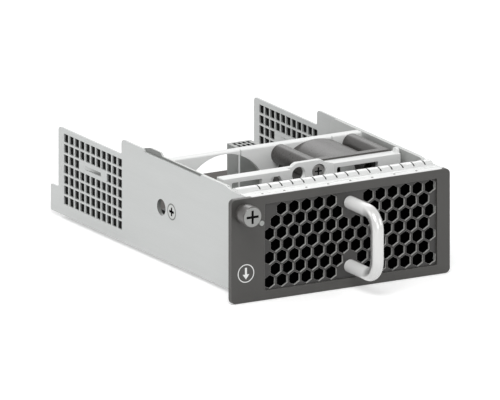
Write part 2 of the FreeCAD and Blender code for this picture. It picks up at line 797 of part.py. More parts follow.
def make_motor():
    """All inner pieces of the fan's brushless outer-rotor motor, as a dictionary of nodes."""
    x = right_bay_x
    hub_y0, hub_y1, base_y = motor_stations()
    yoke_r = hub_r - hub_wall
    magnet_r = yoke_r - yoke_wall
    bore_r = magnet_r - magnet_t
    pole_r = bore_r - stator_gap
    tube_r = bearing_r + running_gap
    sleeve_r = tube_r + bearing_tube_wall
    face_y = hub_y0 + hub_face_t
    cup_y = face_y + hub_boss_len + yoke_gap
    nodes = {}
    nodes["rotor_yoke"] = tube_y(x, fan_z, yoke_r, magnet_r, cup_y, hub_y1)
    nodes["rotor_magnet"] = tube_y(x, fan_z, magnet_r, bore_r, cup_y + magnet_end_gap,
                                   hub_y1 - magnet_end_gap)
    board_y = base_y - motor_board_t
    nodes["fan_circuit_board"] = tube_y(x, fan_z, pole_r, sleeve_r + 0.1, board_y, base_y)
    nodes["bearing_tube"] = tube_y(x, fan_z, sleeve_r, tube_r, cup_y + 1.0, base_y)
    front_bearing = tube_y(x, fan_z, bearing_r, shaft_r + running_gap, cup_y + 1.6,
                           cup_y + 1.6 + bearing_len)
    rear_y = base_y - 2.0 - bearing_len
    rear_bearing = tube_y(x, fan_z, bearing_r, shaft_r + running_gap, rear_y, rear_y + bearing_len)
    nodes["ball_bearings"] = group([front_bearing, rear_bearing])
    nodes["fan_shaft"] = rod_y(x, fan_z, shaft_r, face_y, base_y - 0.6)
    clip_y = rear_y + bearing_len + 0.3
    clip = tube_y(x, fan_z, shaft_r + 0.9, shaft_r, clip_y, clip_y + 0.4)
    nodes["shaft_retaining_clip"] = clip.cut(box(x - 0.7, x + 0.7, clip_y - 1, clip_y + 1,
                                                 fan_z, fan_z + 4))
    core_y0 = board_y - 2.2 - stator_len
    core_y1 = core_y0 + stator_len
    metal_y0 = core_y0 + stator_end_inset
    metal_y1 = core_y1 - stator_end_inset
    core = tube_y(x, fan_z, sleeve_r + 1.3, sleeve_r, metal_y0, metal_y1)
    coils = []
    shoe_in = pole_r - pole_shoe_t
    neck_x0 = x - pole_neck_w / 2
    neck_x1 = x + pole_neck_w / 2
    for k in range(pole_count):
        turn = 360 / pole_count * k
        neck = box(neck_x0, neck_x1, metal_y0, metal_y1, fan_z + sleeve_r + 0.6,
                   fan_z + shoe_in + 0.4)
        ring = tube_y(x, fan_z, pole_r, shoe_in, metal_y0, metal_y1)
        shoe = ring.common(box(x - pole_shoe_w / 2, x + pole_shoe_w / 2, core_y0, core_y1, fan_z,
                               fan_z + pole_r + 1))
        coil = box(x - coil_w / 2, x + coil_w / 2, core_y0 + coil_end_inset,
                   core_y1 - coil_end_inset, fan_z + sleeve_r + 1.6, fan_z + shoe_in - 0.4)
        coil = coil.cut(box(neck_x0, neck_x1, metal_y0, metal_y1, fan_z, fan_z + pole_r))
        for piece in (neck, shoe, coil):
            piece.rotate(vec(x, 0, fan_z), vec(0, 1, 0), turn)
        core = core.fuse(neck).fuse(shoe)
        coils.append(coil)
    nodes["stator_core"] = core.removeSplitter()
    nodes["stator_coils"] = group(coils)
    return nodes


def make_fan_screw():
    """Long pan head screw through the fan's upper inner corner into the rear bulkhead."""
    x = right_bay_x - fan_hole_pitch / 2
    z = fan_z + fan_hole_pitch / 2
    front = duct_wall_y + 0.3
    head = rod_y(x, z, access_r - 0.2, front, fan_y)
    top = [e for e in head.Edges if abs(e.CenterOfMass.y - front) < 1e-3 and e.Closed]
    head = head.makeChamfer(0.5, top)
    head = head.cut(cross_recess(vec(x, front, z), vec(0, 1, 0), 1.6, 0.34, 1.0))
    return head.fuse(rod_y(x, z, fan_screw_r, fan_y, rear_plate_y + rear_plate_t))


def cross_recess(mouth, inward, reach, half_w, depth):
    """Cross-shaped driver recess from its mouth's middle, tapering inward, as a cutting tool."""
    foot = reach - depth * 0.45
    arm = plate_x([(-reach, -1), (reach, -1), (reach, 0), (foot, depth), (-foot, depth),
                   (-reach, 0)], -half_w, half_w)
    tool = arm.fuse(arm.rotated(vec(0, 0, 0), vec(0, 0, 1), 90))
    tool.Placement = FreeCAD.Placement(mouth, FreeCAD.Rotation(vec(0, 0, 1), inward))
    return tool


def make_handle():
    """Round bar bent to a D and drilled from behind at both feet."""
    grip_y = -(handle_reach - handle_r)
    bend_y = grip_y + handle_bend_r
    depth = handle_screw_bite + handle_hole_spare
    half_grip = handle_pitch / 2 - handle_bend_r
    bar = rod_z(window_x, grip_y, handle_r, window_z - half_grip, window_z + half_grip)
    for x, z in handle_places():
        upward = 1 if z < window_z else -1
        section = Part.Face(Part.Wire(Part.makeCircle(handle_r, vec(x, bend_y, z), vec(0, 1, 0))))
        bend = section.revolve(vec(x, bend_y, z + upward * handle_bend_r), vec(1, 0, 0),
                               -90 * upward)
        bar = bar.fuse(bend).fuse(rod_y(x, z, handle_r, bend_y, grille_y))
        bar = bar.cut(rod_y(x, z, handle_screw_r + fit_gap, grille_y - depth, grille_y + 1))
    return bar


def make_handle_screws():
    screws = []
    for x, z in handle_places():
        head = rod_y(x, z, handle_head_r, bezel_t, bezel_t + handle_head_h)
        shank = rod_y(x, z, handle_screw_r, grille_y - handle_screw_bite, bezel_t)
        screws.append(head.fuse(shank))
    return group(screws)


def make_bezel_screws():
    screws = []
    for x, z in bezel_screw_places():
        head = rod_y(x, z, bezel_head_r, wall_y0, wall_y0 + bezel_head_h)
        shank = rod_y(x, z, bezel_screw_r, bezel_t - bezel_screw_bite, wall_y0)
        screws.append(head.fuse(shank))
    return group(screws)


def make_captive_screw():
    """Captive panel screw, stored pushed out by its spring. The knob's skirt slides over a
    fixed collar, and a washer between spring and knob lets the screw turn."""
    x = lock_x
    z = lock_z
    cavity_r = knob_r - knob_skirt_t
    collar_r = cavity_r - lock_clearance
    front = -knob_reach
    rim = -(lock_travel + lock_stop_gap)
    cavity_end = front + knob_end_t
    collar_front = cavity_end + lock_travel + 0.1
    flange_end = bezel_t + collar_flange_t
    nodes = {}
    collar = rod_y(x, z, collar_r, collar_front, 0)
    collar = collar.cut(rod_y(x, z, collar_r - collar_wall, collar_front - 1, -collar_floor_t))
    collar = collar.fuse(rod_y(x, z, collar_neck_r, -collar_floor_t, bezel_t))
    collar = collar.fuse(rod_y(x, z, collar_flange_r, bezel_t, flange_end))
    bore = rod_y(x, z, lock_neck_r + lock_clearance, collar_front - 1, flange_end + 1)
    nodes["captive_collar"] = collar.cut(bore).removeSplitter()
    knob = rod_y(x, z, knob_r, front, rim)
    edge = [e for e in knob.Edges if abs(e.CenterOfMass.y - front) < 1e-3 and e.Closed]
    knob = knob.makeChamfer(0.35, edge)
    knob = knob.cut(rod_y(x, z, cavity_r, cavity_end, rim + 1))
    recess = cross_recess(vec(x, front, z), vec(0, 1, 0), 2.7, 0.5, knob_end_t - 0.3)
    nodes["captive_knob"] = knob.cut(recess)
    thread_y = flange_end + 0.1
    tip = thread_y + lock_thread_len
    thread = rod_y(x, z, lock_r, thread_y, tip)
    point = [e for e in thread.Edges if abs(e.CenterOfMass.y - tip) < 1e-3 and e.Closed]
    thread = thread.makeChamfer(0.4, point)
    nodes["captive_shank"] = thread.fuse(rod_y(x, z, lock_neck_r, cavity_end, thread_y))
    washer_y = cavity_end + 0.1
    nodes["thrust_washer"] = tube_y(x, z, washer_r, lock_neck_r + lock_clearance, washer_y,
                                    washer_y + washer_t)
    spring_y = washer_y + washer_t
    height = -collar_floor_t - spring_y
    nodes["captive_spring"] = coil(x, z, spring_y, spring_y + height)
    return nodes


def coil(x, z, y0, y1):
    """Compression spring along Y, as a faceted helix swept by a hexagonal wire section."""
    pitch = (y1 - y0 - 2 * spring_wire_r) / spring_turns
    path = []
    for k in range(spring_turns * coil_facets + 1):
        turn = 2 * math.pi * k / coil_facets
        path.append(vec(x + spring_r * math.cos(turn),
                        y0 + spring_wire_r + pitch * k / coil_facets,
                        z + spring_r * math.sin(turn)))
    section = []
    for k in range(7):
        turn = math.radians(60 * k)
        section.append(path[0] + vec(spring_wire_r * math.cos(turn),
                                     spring_wire_r * math.sin(turn), 0))
    mitred = 1
    wire = Part.makePolygon(path)
    return wire.makePipeShell([Part.makePolygon(section)], True, True, mitred)


def make_status_light():
    nodes = {}
    led_y = led_board_y - led_len
    nodes["status_light_pipe"] = rod_y(light_x, light_z, light_r, -light_proud, led_y)
    body = rod_y(light_x, light_z, led_r, led_y, led_board_y)
    nodes["status_led"] = body.fuse(rod_y(light_x, light_z, led_r + 0.3, led_board_y - 0.6,
                                          led_board_y))
    low = light_z - led_board_h / 2
    nodes["led_board"] = plate_y([(cage_x0, low), (cage_x0 + led_board_w, low, 0.8),
                                  (cage_x0 + led_board_w, low + led_board_h, 0.8),
                                  (cage_x0, low + led_board_h)],
                                 led_board_y, led_board_y + led_board_t)
    return nodes


def board_screw_places():
    inset = board_screw_inset
    xs = (board_x0 + inset, board_x1 - inset)
    ys = (board_front_y + inset + 12, board_rear_y - inset - 6)
    return [(x, y) for x in xs for y in ys]


def make_board():
    """Rear circuit board with its standoffs, screws and soldered parts."""
    nodes = {}
    body = plate_z(rectangle(board_x0, board_x1, board_front_y, board_rear_y, 1.5), board_z,
                   board_top)
    for x, y in board_screw_places():
        body = body.cut(rod_z(x, y, board_screw_r + 0.15, board_z - 1, board_top + 1))
    nodes["control_board"] = body
    standoffs = []
    screws = []
    for x, y in board_screw_places():
        post = []
        for k in range(6):
            turn = math.radians(60 * k)
            post.append((x + standoff_r * math.cos(turn), y + standoff_r * math.sin(turn)))
        standoff = plate_z(post, floor_top, board_z)
        standoffs.append(standoff.cut(rod_z(x, y, board_screw_r + fit_gap, floor_top - 1,
                                            board_z + 1)))
        top = board_top + board_head_h
        head = rod_z(x, y, board_screw_r * 2, board_top, top)
        head = head.cut(cross_recess(vec(x, y, top), vec(0, 0, -1), 1.6, 0.34, 1.0))
        screws.append(head.fuse(rod_z(x, y, board_screw_r, tray_ground + 0.2, board_top)))
    nodes["board_standoffs"] = group(standoffs)
    nodes["board_screws"] = group(screws)
    return nodes


def make_terminal_block():
    """Tall socket for the fan leads, with two rows of slots in its top."""
    x0 = terminal_x
    y0 = terminal_y
    body = plate_z(rectangle(x0, x0 + terminal_w, y0, y0 + terminal_d, 0.5), board_top,
                   terminal_top)
    slot_w = (terminal_w - 2.4) / 4
    for k in range(4):
        left = x0 + 1.2 + k * slot_w + 0.35
        for y in (y0 + 1.4, y0 + terminal_d - 3.8):
            body = body.cut(box(left, left + slot_w - 0.7, y, y + 2.4, terminal_top - 6,
                                terminal_top + 1))
    return body


def make_rear_plug():
    """Blind-mating plug at the board's rear edge, with its row of blade contacts."""
    y1 = board_rear_y + plug_overhang
    y0 = y1 - plug_d
    body = plate_z([(plug_x, y0), (plug_x + plug_w, y0), (plug_x + plug_w, y1, 1.2),
                    (plug_x, y1, 1.2)], board_top, board_top + plug_h)
    mouth_x0 = plug_x + plug_wall
    mouth_x1 = plug_x + plug_w - plug_wall
    mouth_z0 = board_top + plug_wall
    mouth_z1 = board_top + plug_h - plug_wall
    floor_y = y0 + plug_floor_d
    body = body.cut(box(mouth_x0, mouth_x1, floor_y, y1 + 1, mouth_z0, mouth_z1))
    step = (mouth_x1 - mouth_x0) / contact_count
    contacts = []
    for k in range(contact_count):
        x = mouth_x0 + step * (k + 0.5)
        contacts.append(box(x - contact_w / 2, x + contact_w / 2, floor_y, y1 - contact_recess,
                            mouth_z0, mouth_z0 + contact_t))
    return body, group(contacts)


def make_capacitors():
    cans = []
    for k in range(2):
        x = terminal_x + terminal_w + capacitor_from_terminal + k * capacitor_pitch
        y = board_front_y + capacitor_from_front
        can = rod_z(x, y, capacitor_r, board_top, board_top + capacitor_h)
        rims = [e for e in can.Edges if abs(e.CenterOfMass.z - board_top - capacitor_h) < 1e-3
                and e.Closed]
        cans.append(can.makeChamfer(capacitor_chamfer, rims))
    return group(cans)


def main():
    nodes = {"front_bezel": make_bezel(), "front_grille": make_grille(), "dust_foam": make_foam(),
             "front_frame": make_front_frame(), "tray_floor": make_floor(),
             "left_cheek": make_wall(-1), "right_cheek": make_wall(1),
             "left_cage_plate": make_cage_plate(-1), "right_cage_plate": make_cage_plate(1),
             "spring_finger_strip": make_strip(), "cage_front_duct": make_front_duct(),
             "cage_rear_plate": make_rear_plate(), "fan_housing": make_fan_housing(),
             "impeller": make_impeller(), "fan_screw": make_fan_screw(),
             "handle": make_handle(), "handle_screws": make_handle_screws(),
             "bezel_screws": make_bezel_screws(),
             "side_screws": group([side_screw(-1, 0), side_screw(1, 0)]),
             "fan_terminal_block": make_terminal_block(), "board_capacitors": make_capacitors()}
    nodes.update(make_motor())
    nodes.update(make_captive_screw())
    nodes.update(make_status_light())
    nodes.update(make_board())
    nodes["rear_plug"], nodes["plug_contacts"] = make_rear_plug()
    for name, shape in nodes.items():
        save(name, shape)
        print(name, len(shape.Solids), round(shape.Volume, 1), shape.isValid())


main()
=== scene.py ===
import json
import math
import bmesh
import bpy
from mathutils import Matrix, Vector


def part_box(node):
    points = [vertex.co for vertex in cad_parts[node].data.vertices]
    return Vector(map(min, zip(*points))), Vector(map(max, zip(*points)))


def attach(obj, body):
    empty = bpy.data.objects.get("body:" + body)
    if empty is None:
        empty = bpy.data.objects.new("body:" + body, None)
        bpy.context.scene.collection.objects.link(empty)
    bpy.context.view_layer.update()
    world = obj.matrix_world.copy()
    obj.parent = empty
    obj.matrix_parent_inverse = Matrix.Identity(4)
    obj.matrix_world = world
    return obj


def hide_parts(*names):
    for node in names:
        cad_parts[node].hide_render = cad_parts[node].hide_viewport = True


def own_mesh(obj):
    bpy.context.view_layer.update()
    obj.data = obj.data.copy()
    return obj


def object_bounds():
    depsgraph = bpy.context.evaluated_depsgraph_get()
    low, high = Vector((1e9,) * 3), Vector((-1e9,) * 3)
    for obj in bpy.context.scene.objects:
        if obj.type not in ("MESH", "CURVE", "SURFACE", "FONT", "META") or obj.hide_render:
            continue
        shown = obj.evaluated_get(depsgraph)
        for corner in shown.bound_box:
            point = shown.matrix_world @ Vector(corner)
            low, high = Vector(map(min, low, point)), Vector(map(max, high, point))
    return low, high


# A slide-in fan tray for a network switch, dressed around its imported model.
# Objects are in metres, in the model's own frame: +X right, +Y towards the rear, +Z up, with
# the bezel facing -Y. Unless a comment says otherwise, a length with no MM beside it is in
# millimetres, and a place is measured from the bezel's lower left front corner.

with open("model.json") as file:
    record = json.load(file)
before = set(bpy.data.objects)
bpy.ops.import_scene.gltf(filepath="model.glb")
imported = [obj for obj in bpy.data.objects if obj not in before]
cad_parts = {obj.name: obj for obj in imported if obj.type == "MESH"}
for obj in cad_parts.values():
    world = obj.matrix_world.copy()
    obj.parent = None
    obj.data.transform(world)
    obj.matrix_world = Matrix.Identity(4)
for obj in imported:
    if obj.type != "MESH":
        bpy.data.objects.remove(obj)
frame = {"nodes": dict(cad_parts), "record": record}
cad_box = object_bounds()
nodes = frame["nodes"]
scene = bpy.context.scene
scene.view_settings.view_transform = "Standard"

MM = 0.001
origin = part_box("front_bezel")[0]


def extent(node):
    """A node's lowest and highest corners in millimetres from the bezel's corner."""
    return [tuple((a - b) / MM for a, b in zip(corner, origin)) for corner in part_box(node)]


def at(x, y, z):
    """The place in metres of millimetres from the bezel's corner."""
    return origin + Vector((x, y, z)) * MM


# The view of the photograph, in metres
view_azimuth = math.radians(-30)
view_elevation = math.radians(15)
view_width = 0.1945
view_middle = Vector((0.0361, 0.06695, 0))
view_distance = 1.2
view_nearest = 0.01
view_farthest = 10

# Lamps: place and width in metres, power in watts
lamp_aim = Vector((0, 0.04, 0.02))
lamps = {
    "key": ((-0.35, -0.45, 0.75), 0.45, 3.0),
    "front": ((-0.15, -0.95, 0.32), 0.50, 0.9),
    "right": ((0.80, -0.50, 0.40), 0.40, 0.9),
    "side": ((-0.70, 0.15, 0.62), 0.40, 0.35),
    "rear": ((0.35, 0.70, 0.60), 0.50, 1.0),
}
world_diffuse = 0.56

# Floor, in metres
floor_reach = 3.0
floor_drop = 0.0002
floor_colour = (0.9, 0.9, 0.9, 1)
floor_glow = 0.34
white = (1, 1, 1, 1)

# Places that several pieces share
(fan_x0, _, fan_z0), (fan_x1, _, fan_z1) = extent("fan_housing")
bay_pitch = 41.0
right_bay = (fan_x0 + fan_x1) / 2
left_bay = right_bay - bay_pitch
fan_z = (fan_z0 + fan_z1) / 2
fan_screw_offset = 16.0
guide_hole_y = 69.0
tongue_y0 = 115.9
tongue_y1 = 128.6
tongue_z0 = 23.3
tongue_z1 = 25.4
strip_t = 0.25

# What lies on the rear board reaches this far into it
into_board = 0.01

# Tests on faces: how near to a plane counts as in it, in metres, and how far a unit normal
# reaches along an axis that the face looks along, or runs beside
skin = 0.01 * MM
looks_along = 0.9
runs_beside = 0.5

# A cutting tool passes this far beyond the faces that it cuts, and a joined block reaches this
# far into its seat
clear = 1.0

# Noise detail of the fine grain and of the slow drift in colour, and the range where most of a
# noise lies
fine_detail = 3
slow_detail = 4
noise_low = 0.3
noise_high = 0.7

# How far the bevelled normal keeps to the true one, as a cosine, where the lighter edge colour
# begins and where it is full; this colour is partly edge wear and partly a painted highlight
wear_highlight_begins = 0.99
wear_highlight_full = 0.80


def make_camera():
    back = Vector((math.sin(view_azimuth) * math.cos(view_elevation),
                   -math.cos(view_azimuth) * math.cos(view_elevation),
                   math.sin(view_elevation)))
    data = bpy.data.cameras.new("photo_camera")
    data.type = "ORTHO"
    data.ortho_scale = view_width
    data.clip_start = view_nearest
    data.clip_end = view_farthest
    camera = bpy.data.objects.new("photo_camera", data)
    camera.location = view_middle + back * view_distance
    camera.rotation_mode = "QUATERNION"
    camera.rotation_quaternion = (-back).to_track_quat("-Z", "Y")
    scene.collection.objects.link(camera)
    scene.camera = camera


def make_lights():
    for name, (place, width, power) in lamps.items():
        data = bpy.data.lights.new(name, "AREA")
        data.shape = "DISK"
        data.size = width
        data.energy = power
        lamp = bpy.data.objects.new(name, data)
        lamp.location = place
        lamp.rotation_mode = "QUATERNION"
        lamp.rotation_quaternion = (lamp_aim - Vector(place)).to_track_quat("-Z", "Y")
        scene.collection.objects.link(lamp)


def feed(tree, socket, value):
    """Sets a shader input to a number or colour, or links it to the socket given."""
    if isinstance(value, bpy.types.NodeSocket):
        tree.links.new(value, socket)
    else:
        socket.default_value = value


def shader_node(tree, kind, inputs, **settings):
    """A new shader node; inputs maps the names or numbers of its inputs to values or sockets."""
    made = tree.nodes.new("ShaderNode" + kind)
    for name, value in settings.items():
        setattr(made, name, value)
    for key, value in inputs.items():
        feed(tree, made.inputs[key], value)
    return made


def maximum(tree, first, second):
    return shader_node(tree, "Math", {0: first, 1: second}, operation="MAXIMUM").outputs[0]


def seen_directly(tree):
    """A mask that is 1 for camera, glossy and transmission rays."""
    path = shader_node(tree, "LightPath", {})
    seen = maximum(tree, path.outputs["Is Camera Ray"], path.outputs["Is Glossy Ray"])
    return maximum(tree, seen, path.outputs["Is Transmission Ray"])


def make_world():
    """An even dome that is white where it is seen, and lights the part at a lower level."""
    world = bpy.data.worlds.new("studio")
    scene.world = world
    world.use_nodes = True
    tree = world.node_tree
    tree.nodes.clear()
    lit = shader_node(tree, "Background", {"Color": white, "Strength": world_diffuse})
    shown = shader_node(tree, "Background", {"Color": white, "Strength": 1.0})
    mix = shader_node(tree, "MixShader", {0: seen_directly(tree), 1: lit.outputs[0],
                                          2: shown.outputs[0]})
    shader_node(tree, "OutputWorld", {"Surface": mix.outputs[0]})


def make_floor():
    """Pale floor that reads as the white background and keeps a soft contact shadow."""
    mesh = bpy.data.meshes.new("studio_floor")
    r = floor_reach
    mesh.from_pydata([(-r, -r, 0), (r, -r, 0), (r, r, 0), (-r, r, 0)], [], [(0, 1, 2, 3)])
    floor = bpy.data.objects.new("studio_floor", mesh)
    floor.location.z = cad_box[0].z - floor_drop
    scene.collection.objects.link(floor)
    mat = bpy.data.materials.new("studio_floor")
    mat.use_nodes = True
    tree = mat.node_tree
    tree.nodes.clear()
    diffuse = shader_node(tree, "BsdfDiffuse", {"Color": floor_colour})
    strength = shader_node(tree, "Math", {0: seen_directly(tree), 1: floor_glow},
                           operation="MULTIPLY")
    glow = shader_node(tree, "Emission", {"Color": white, "Strength": strength.outputs[0]})
    total = shader_node(tree, "AddShader", {0: diffuse.outputs[0], 1: glow.outputs[0]})
    shader_node(tree, "OutputMaterial", {"Surface": total.outputs[0]})
    mesh.materials.append(mat)


def linear(text):
    """Linear colour from a two-digits-per-channel hex value."""
    out = []
    for k in (0, 2, 4):
        c = int(text[k:k + 2], 16) / 255
        out.append(c / 12.92 if c <= 0.04045 else ((c + 0.055) / 1.055) ** 2.4)
    return (out[0], out[1], out[2], 1)


def object_place(tree):
    return shader_node(tree, "TexCoord", {}).outputs["Object"]


def scaled_place(tree, scale):
    mapping = shader_node(tree, "Mapping", {"Vector": object_place(tree), "Scale": scale})
    return mapping.outputs["Vector"]


def noise(tree, scale, detail, coords):
    made = shader_node(tree, "TexNoise", {"Scale": scale, "Detail": detail, "Vector": coords})
    return made.outputs["Fac"]


def to_range(tree, value, low, high, new_low, new_high):
    made = shader_node(tree, "MapRange", {"Value": value, "From Min": low, "From Max": high,
                                          "To Min": new_low, "To Max": new_high})
    return made.outputs["Result"]


def from_noise(tree, value, low, high):
    """A noise spread over low to high."""
    return to_range(tree, value, noise_low, noise_high, low, high)


def mix_colour(tree, share, first, second):
    """first and second are colours or sockets; share is a socket."""
    mix = shader_node(tree, "Mix", {"Factor": share}, data_type="RGBA")
    sockets = [s for s in mix.inputs if s.type == "RGBA"]
    for value, socket in zip((first, second), sockets):
        feed(tree, socket, value)
    return [s for s in mix.outputs if s.type == "RGBA"][0]


def surface(name, colour, metallic=0.0, rough=0.5, rough_spread=0.1, grain=2500, bump=0.15,
            grain_depth=0.03 * MM, shade=0.12, shade_scale=70, stretch=(1, 1, 1),
            edge=0.15 * MM, edge_wear_and_highlight_colour=None, edge_wear_and_highlight=0.5, coat=0.0, coat_rough=0.1, specular=0.5):
    """A finished procedural surface: colour drifts slowly, roughness and bump follow a fine
    grain, edges catch light over a small radius, and a lighter colour along them is partly
    wear and partly a painted highlight."""
    mat = bpy.data.materials.new(name)
    mat.use_nodes = True
    tree = mat.node_tree
    coords = scaled_place(tree, stretch)
    fine = noise(tree, grain, fine_detail, coords)
    slow = noise(tree, shade_scale, slow_detail, coords)
    base = linear(colour)
    darker = tuple(c * (1 - shade) for c in base[:3]) + (1,)
    lighter = tuple(min(1, c * (1 + shade)) for c in base[:3]) + (1,)
    tone = mix_colour(tree, from_noise(tree, slow, 0, 1), darker, lighter)

    bevel = shader_node(tree, "Bevel", {"Radius": edge}, samples=4).outputs["Normal"]
    # Lighter colour along the edges: partly edge wear, partly a painted highlight.
    if edge_wear_and_highlight_colour:
        geometry = shader_node(tree, "NewGeometry", {})
        align = shader_node(tree, "VectorMath", {0: bevel, 1: geometry.outputs["Normal"]},
                            operation="DOT_PRODUCT")
        rim = to_range(tree, align.outputs["Value"], wear_highlight_begins, wear_highlight_full, 0, edge_wear_and_highlight)
        tone = mix_colour(tree, rim, tone, linear(edge_wear_and_highlight_colour))

    dents = shader_node(tree, "Bump", {"Strength": bump, "Distance": grain_depth,
                                       "Height": fine, "Normal": bevel})
    half = rough_spread / 2
    finish = {"Base Color": tone, "Roughness": from_noise(tree, fine, rough - half, rough + half),
              "Normal": dents.outputs["Normal"], "Metallic": metallic, "Coat Weight": coat,
              "Coat Roughness": coat_rough, "Specular IOR Level": specular}
    shader = tree.nodes["Principled BSDF"]
    for key, value in finish.items():
        feed(tree, shader.inputs[key], value)
    return mat


def overlay(mat, share, colour):
    """Lays a second colour over a surface, as far as the share socket says."""
    tree = mat.node_tree
    base = tree.nodes["Principled BSDF"].inputs["Base Color"]
    under = base.links[0].from_socket
    tree.links.new(mix_colour(tree, share, under, linear(colour)), base)


def ramp_along_y(mat, y0, y1, low=0, high=1):
    """A socket that goes from low at y0 to high at y1, both in metres."""
    tree = mat.node_tree
    split = shader_node(tree, "SeparateXYZ", {0: object_place(tree)})
    return to_range(tree, split.outputs["Y"], y0, y1, low, high)


def circuit_board_material():
    """Dark solder mask, paler where copper runs lie under it."""
    mat = surface("solder_mask", "4c4846", rough=0.6, shade=0.05, bump=0.05, specular=0.2)
    tree = mat.node_tree
    runs_per_metre = (420, 150, 1)
    most_shown = 0.5
    runs = shader_node(tree, "TexBrick", {
        "Vector": scaled_place(tree, runs_per_metre), "Color1": (0, 0, 0, 1),
        "Color2": (0.35, 0.35, 0.35, 1), "Mortar": white, "Mortar Size": 0.03, "Scale": 1.0})
    overlay(mat, to_range(tree, runs.outputs["Color"], 0, 1, 0, most_shown), "6d6761")
    return mat


def punched_edge_with_shade_material():
    """Walls of punched cells: bright where the punch sheared them, with painted shade towards the
    back of the cells.
    """
    mat = surface("punched_edge", "bfbfbc", rough=0.4, shade=0.04, bump=0.1)
    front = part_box("front_grille")[0].y
    bright_to = front + 0.75 * MM
    shade_from = front + 0.95 * MM
    # Painted shade: the walls turn near black towards the back of the cells.
    overlay(mat, ramp_along_y(mat, bright_to, shade_from), "161616")
    return mat


def handle_feet_highlight_material():
    """Plated bar, satin on the grip; towards the feet it turns whiter and less metallic, a
    painted highlight on the feet.
    """
    metallic = 0.62
    foot_highlight_metallic = 0.05
    mat = surface("handle_chrome", "d4d4d3", metallic=metallic, rough=0.24, rough_spread=0.03,
                  grain=700, bump=0.01, grain_depth=0.01 * MM, shade=0.01, edge=0.05 * MM,
                  coat=0.3)
    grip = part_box("handle")[0].y
    near = grip + 5 * MM
    far = grip + 10 * MM
    # Painted highlight: the feet turn whiter and less metallic so that they look lit.
    overlay(mat, ramp_along_y(mat, near, far), "f6f6f5")
    shader = mat.node_tree.nodes["Principled BSDF"]
    feed(mat.node_tree, shader.inputs["Metallic"],
         ramp_along_y(mat, near, far, metallic, foot_highlight_metallic))
    return mat


def tongue_shade_material(root_y, tip_y):
    """Cheek sheet that darkens towards the tongue's free end, painted shade where the tongue
    bends into the cheek.
    """
    mat = surface("lanced_sheet_painted_shade", "c6c8c7", metallic=0.3, rough=0.45, grain=1400, shade=0.03,
                  bump=0.1, stretch=(1, 0.04, 1))
    # Painted shade: darker from the tongue's root to its free end.
    overlay(mat, ramp_along_y(mat, root_y, tip_y), "7b7d7b")
    return mat


def side_screw_rim_shade_material(axis):
    """Plated screw head, darker at its rim, painted shade where the seam of its countersink runs.
    """
    rim_shade_begins = 2.65 * MM
    rim_shade_full = 2.85 * MM
    mat = surface("side_screw", "c4c6c4", metallic=0.6, rough=0.34, shade=0.04, bump=0.08)
    tree = mat.node_tree
    offset = shader_node(tree, "VectorMath", {0: object_place(tree), 1: axis},
                         operation="SUBTRACT")
    flat = shader_node(tree, "VectorMath", {0: offset.outputs[0], 1: (0, 1, 1)},
                       operation="MULTIPLY")
    length = shader_node(tree, "VectorMath", {0: flat.outputs[0]}, operation="LENGTH")
    # Painted shade: the head darkens towards its rim, at the seam of the countersink.
    overlay(mat, to_range(tree, length.outputs["Value"], rim_shade_begins, rim_shade_full, 0, 1), "7d7f7d")
    return mat


def gauze_material():
    """Black woven gauze: crossed fine threads in colour and height."""
    mat = surface("vent_gauze", "0a0a0a", rough=0.8, shade=0.2, bump=0.2, specular=0.15)
    tree = mat.node_tree
    shader = tree.nodes["Principled BSDF"]
    bands = 900
    waves = [shader_node(tree, "TexWave", {"Scale": bands, "Vector": object_place(tree)},
                         bands_direction=axis) for axis in ("Y", "Z")]
    weave = maximum(tree, waves[0].outputs["Fac"], waves[1].outputs["Fac"])
    overlay(mat, to_range(tree, weave, 0.4, 1.0, 1, 0), "030303")
    under = shader.inputs["Normal"].links[0].from_socket
    threads = shader_node(tree, "Bump", {"Strength": 0.5, "Distance": 0.05 * MM,
                                         "Height": weave, "Normal": under})
    tree.links.new(threads.outputs["Normal"], shader.inputs["Normal"])
    return mat


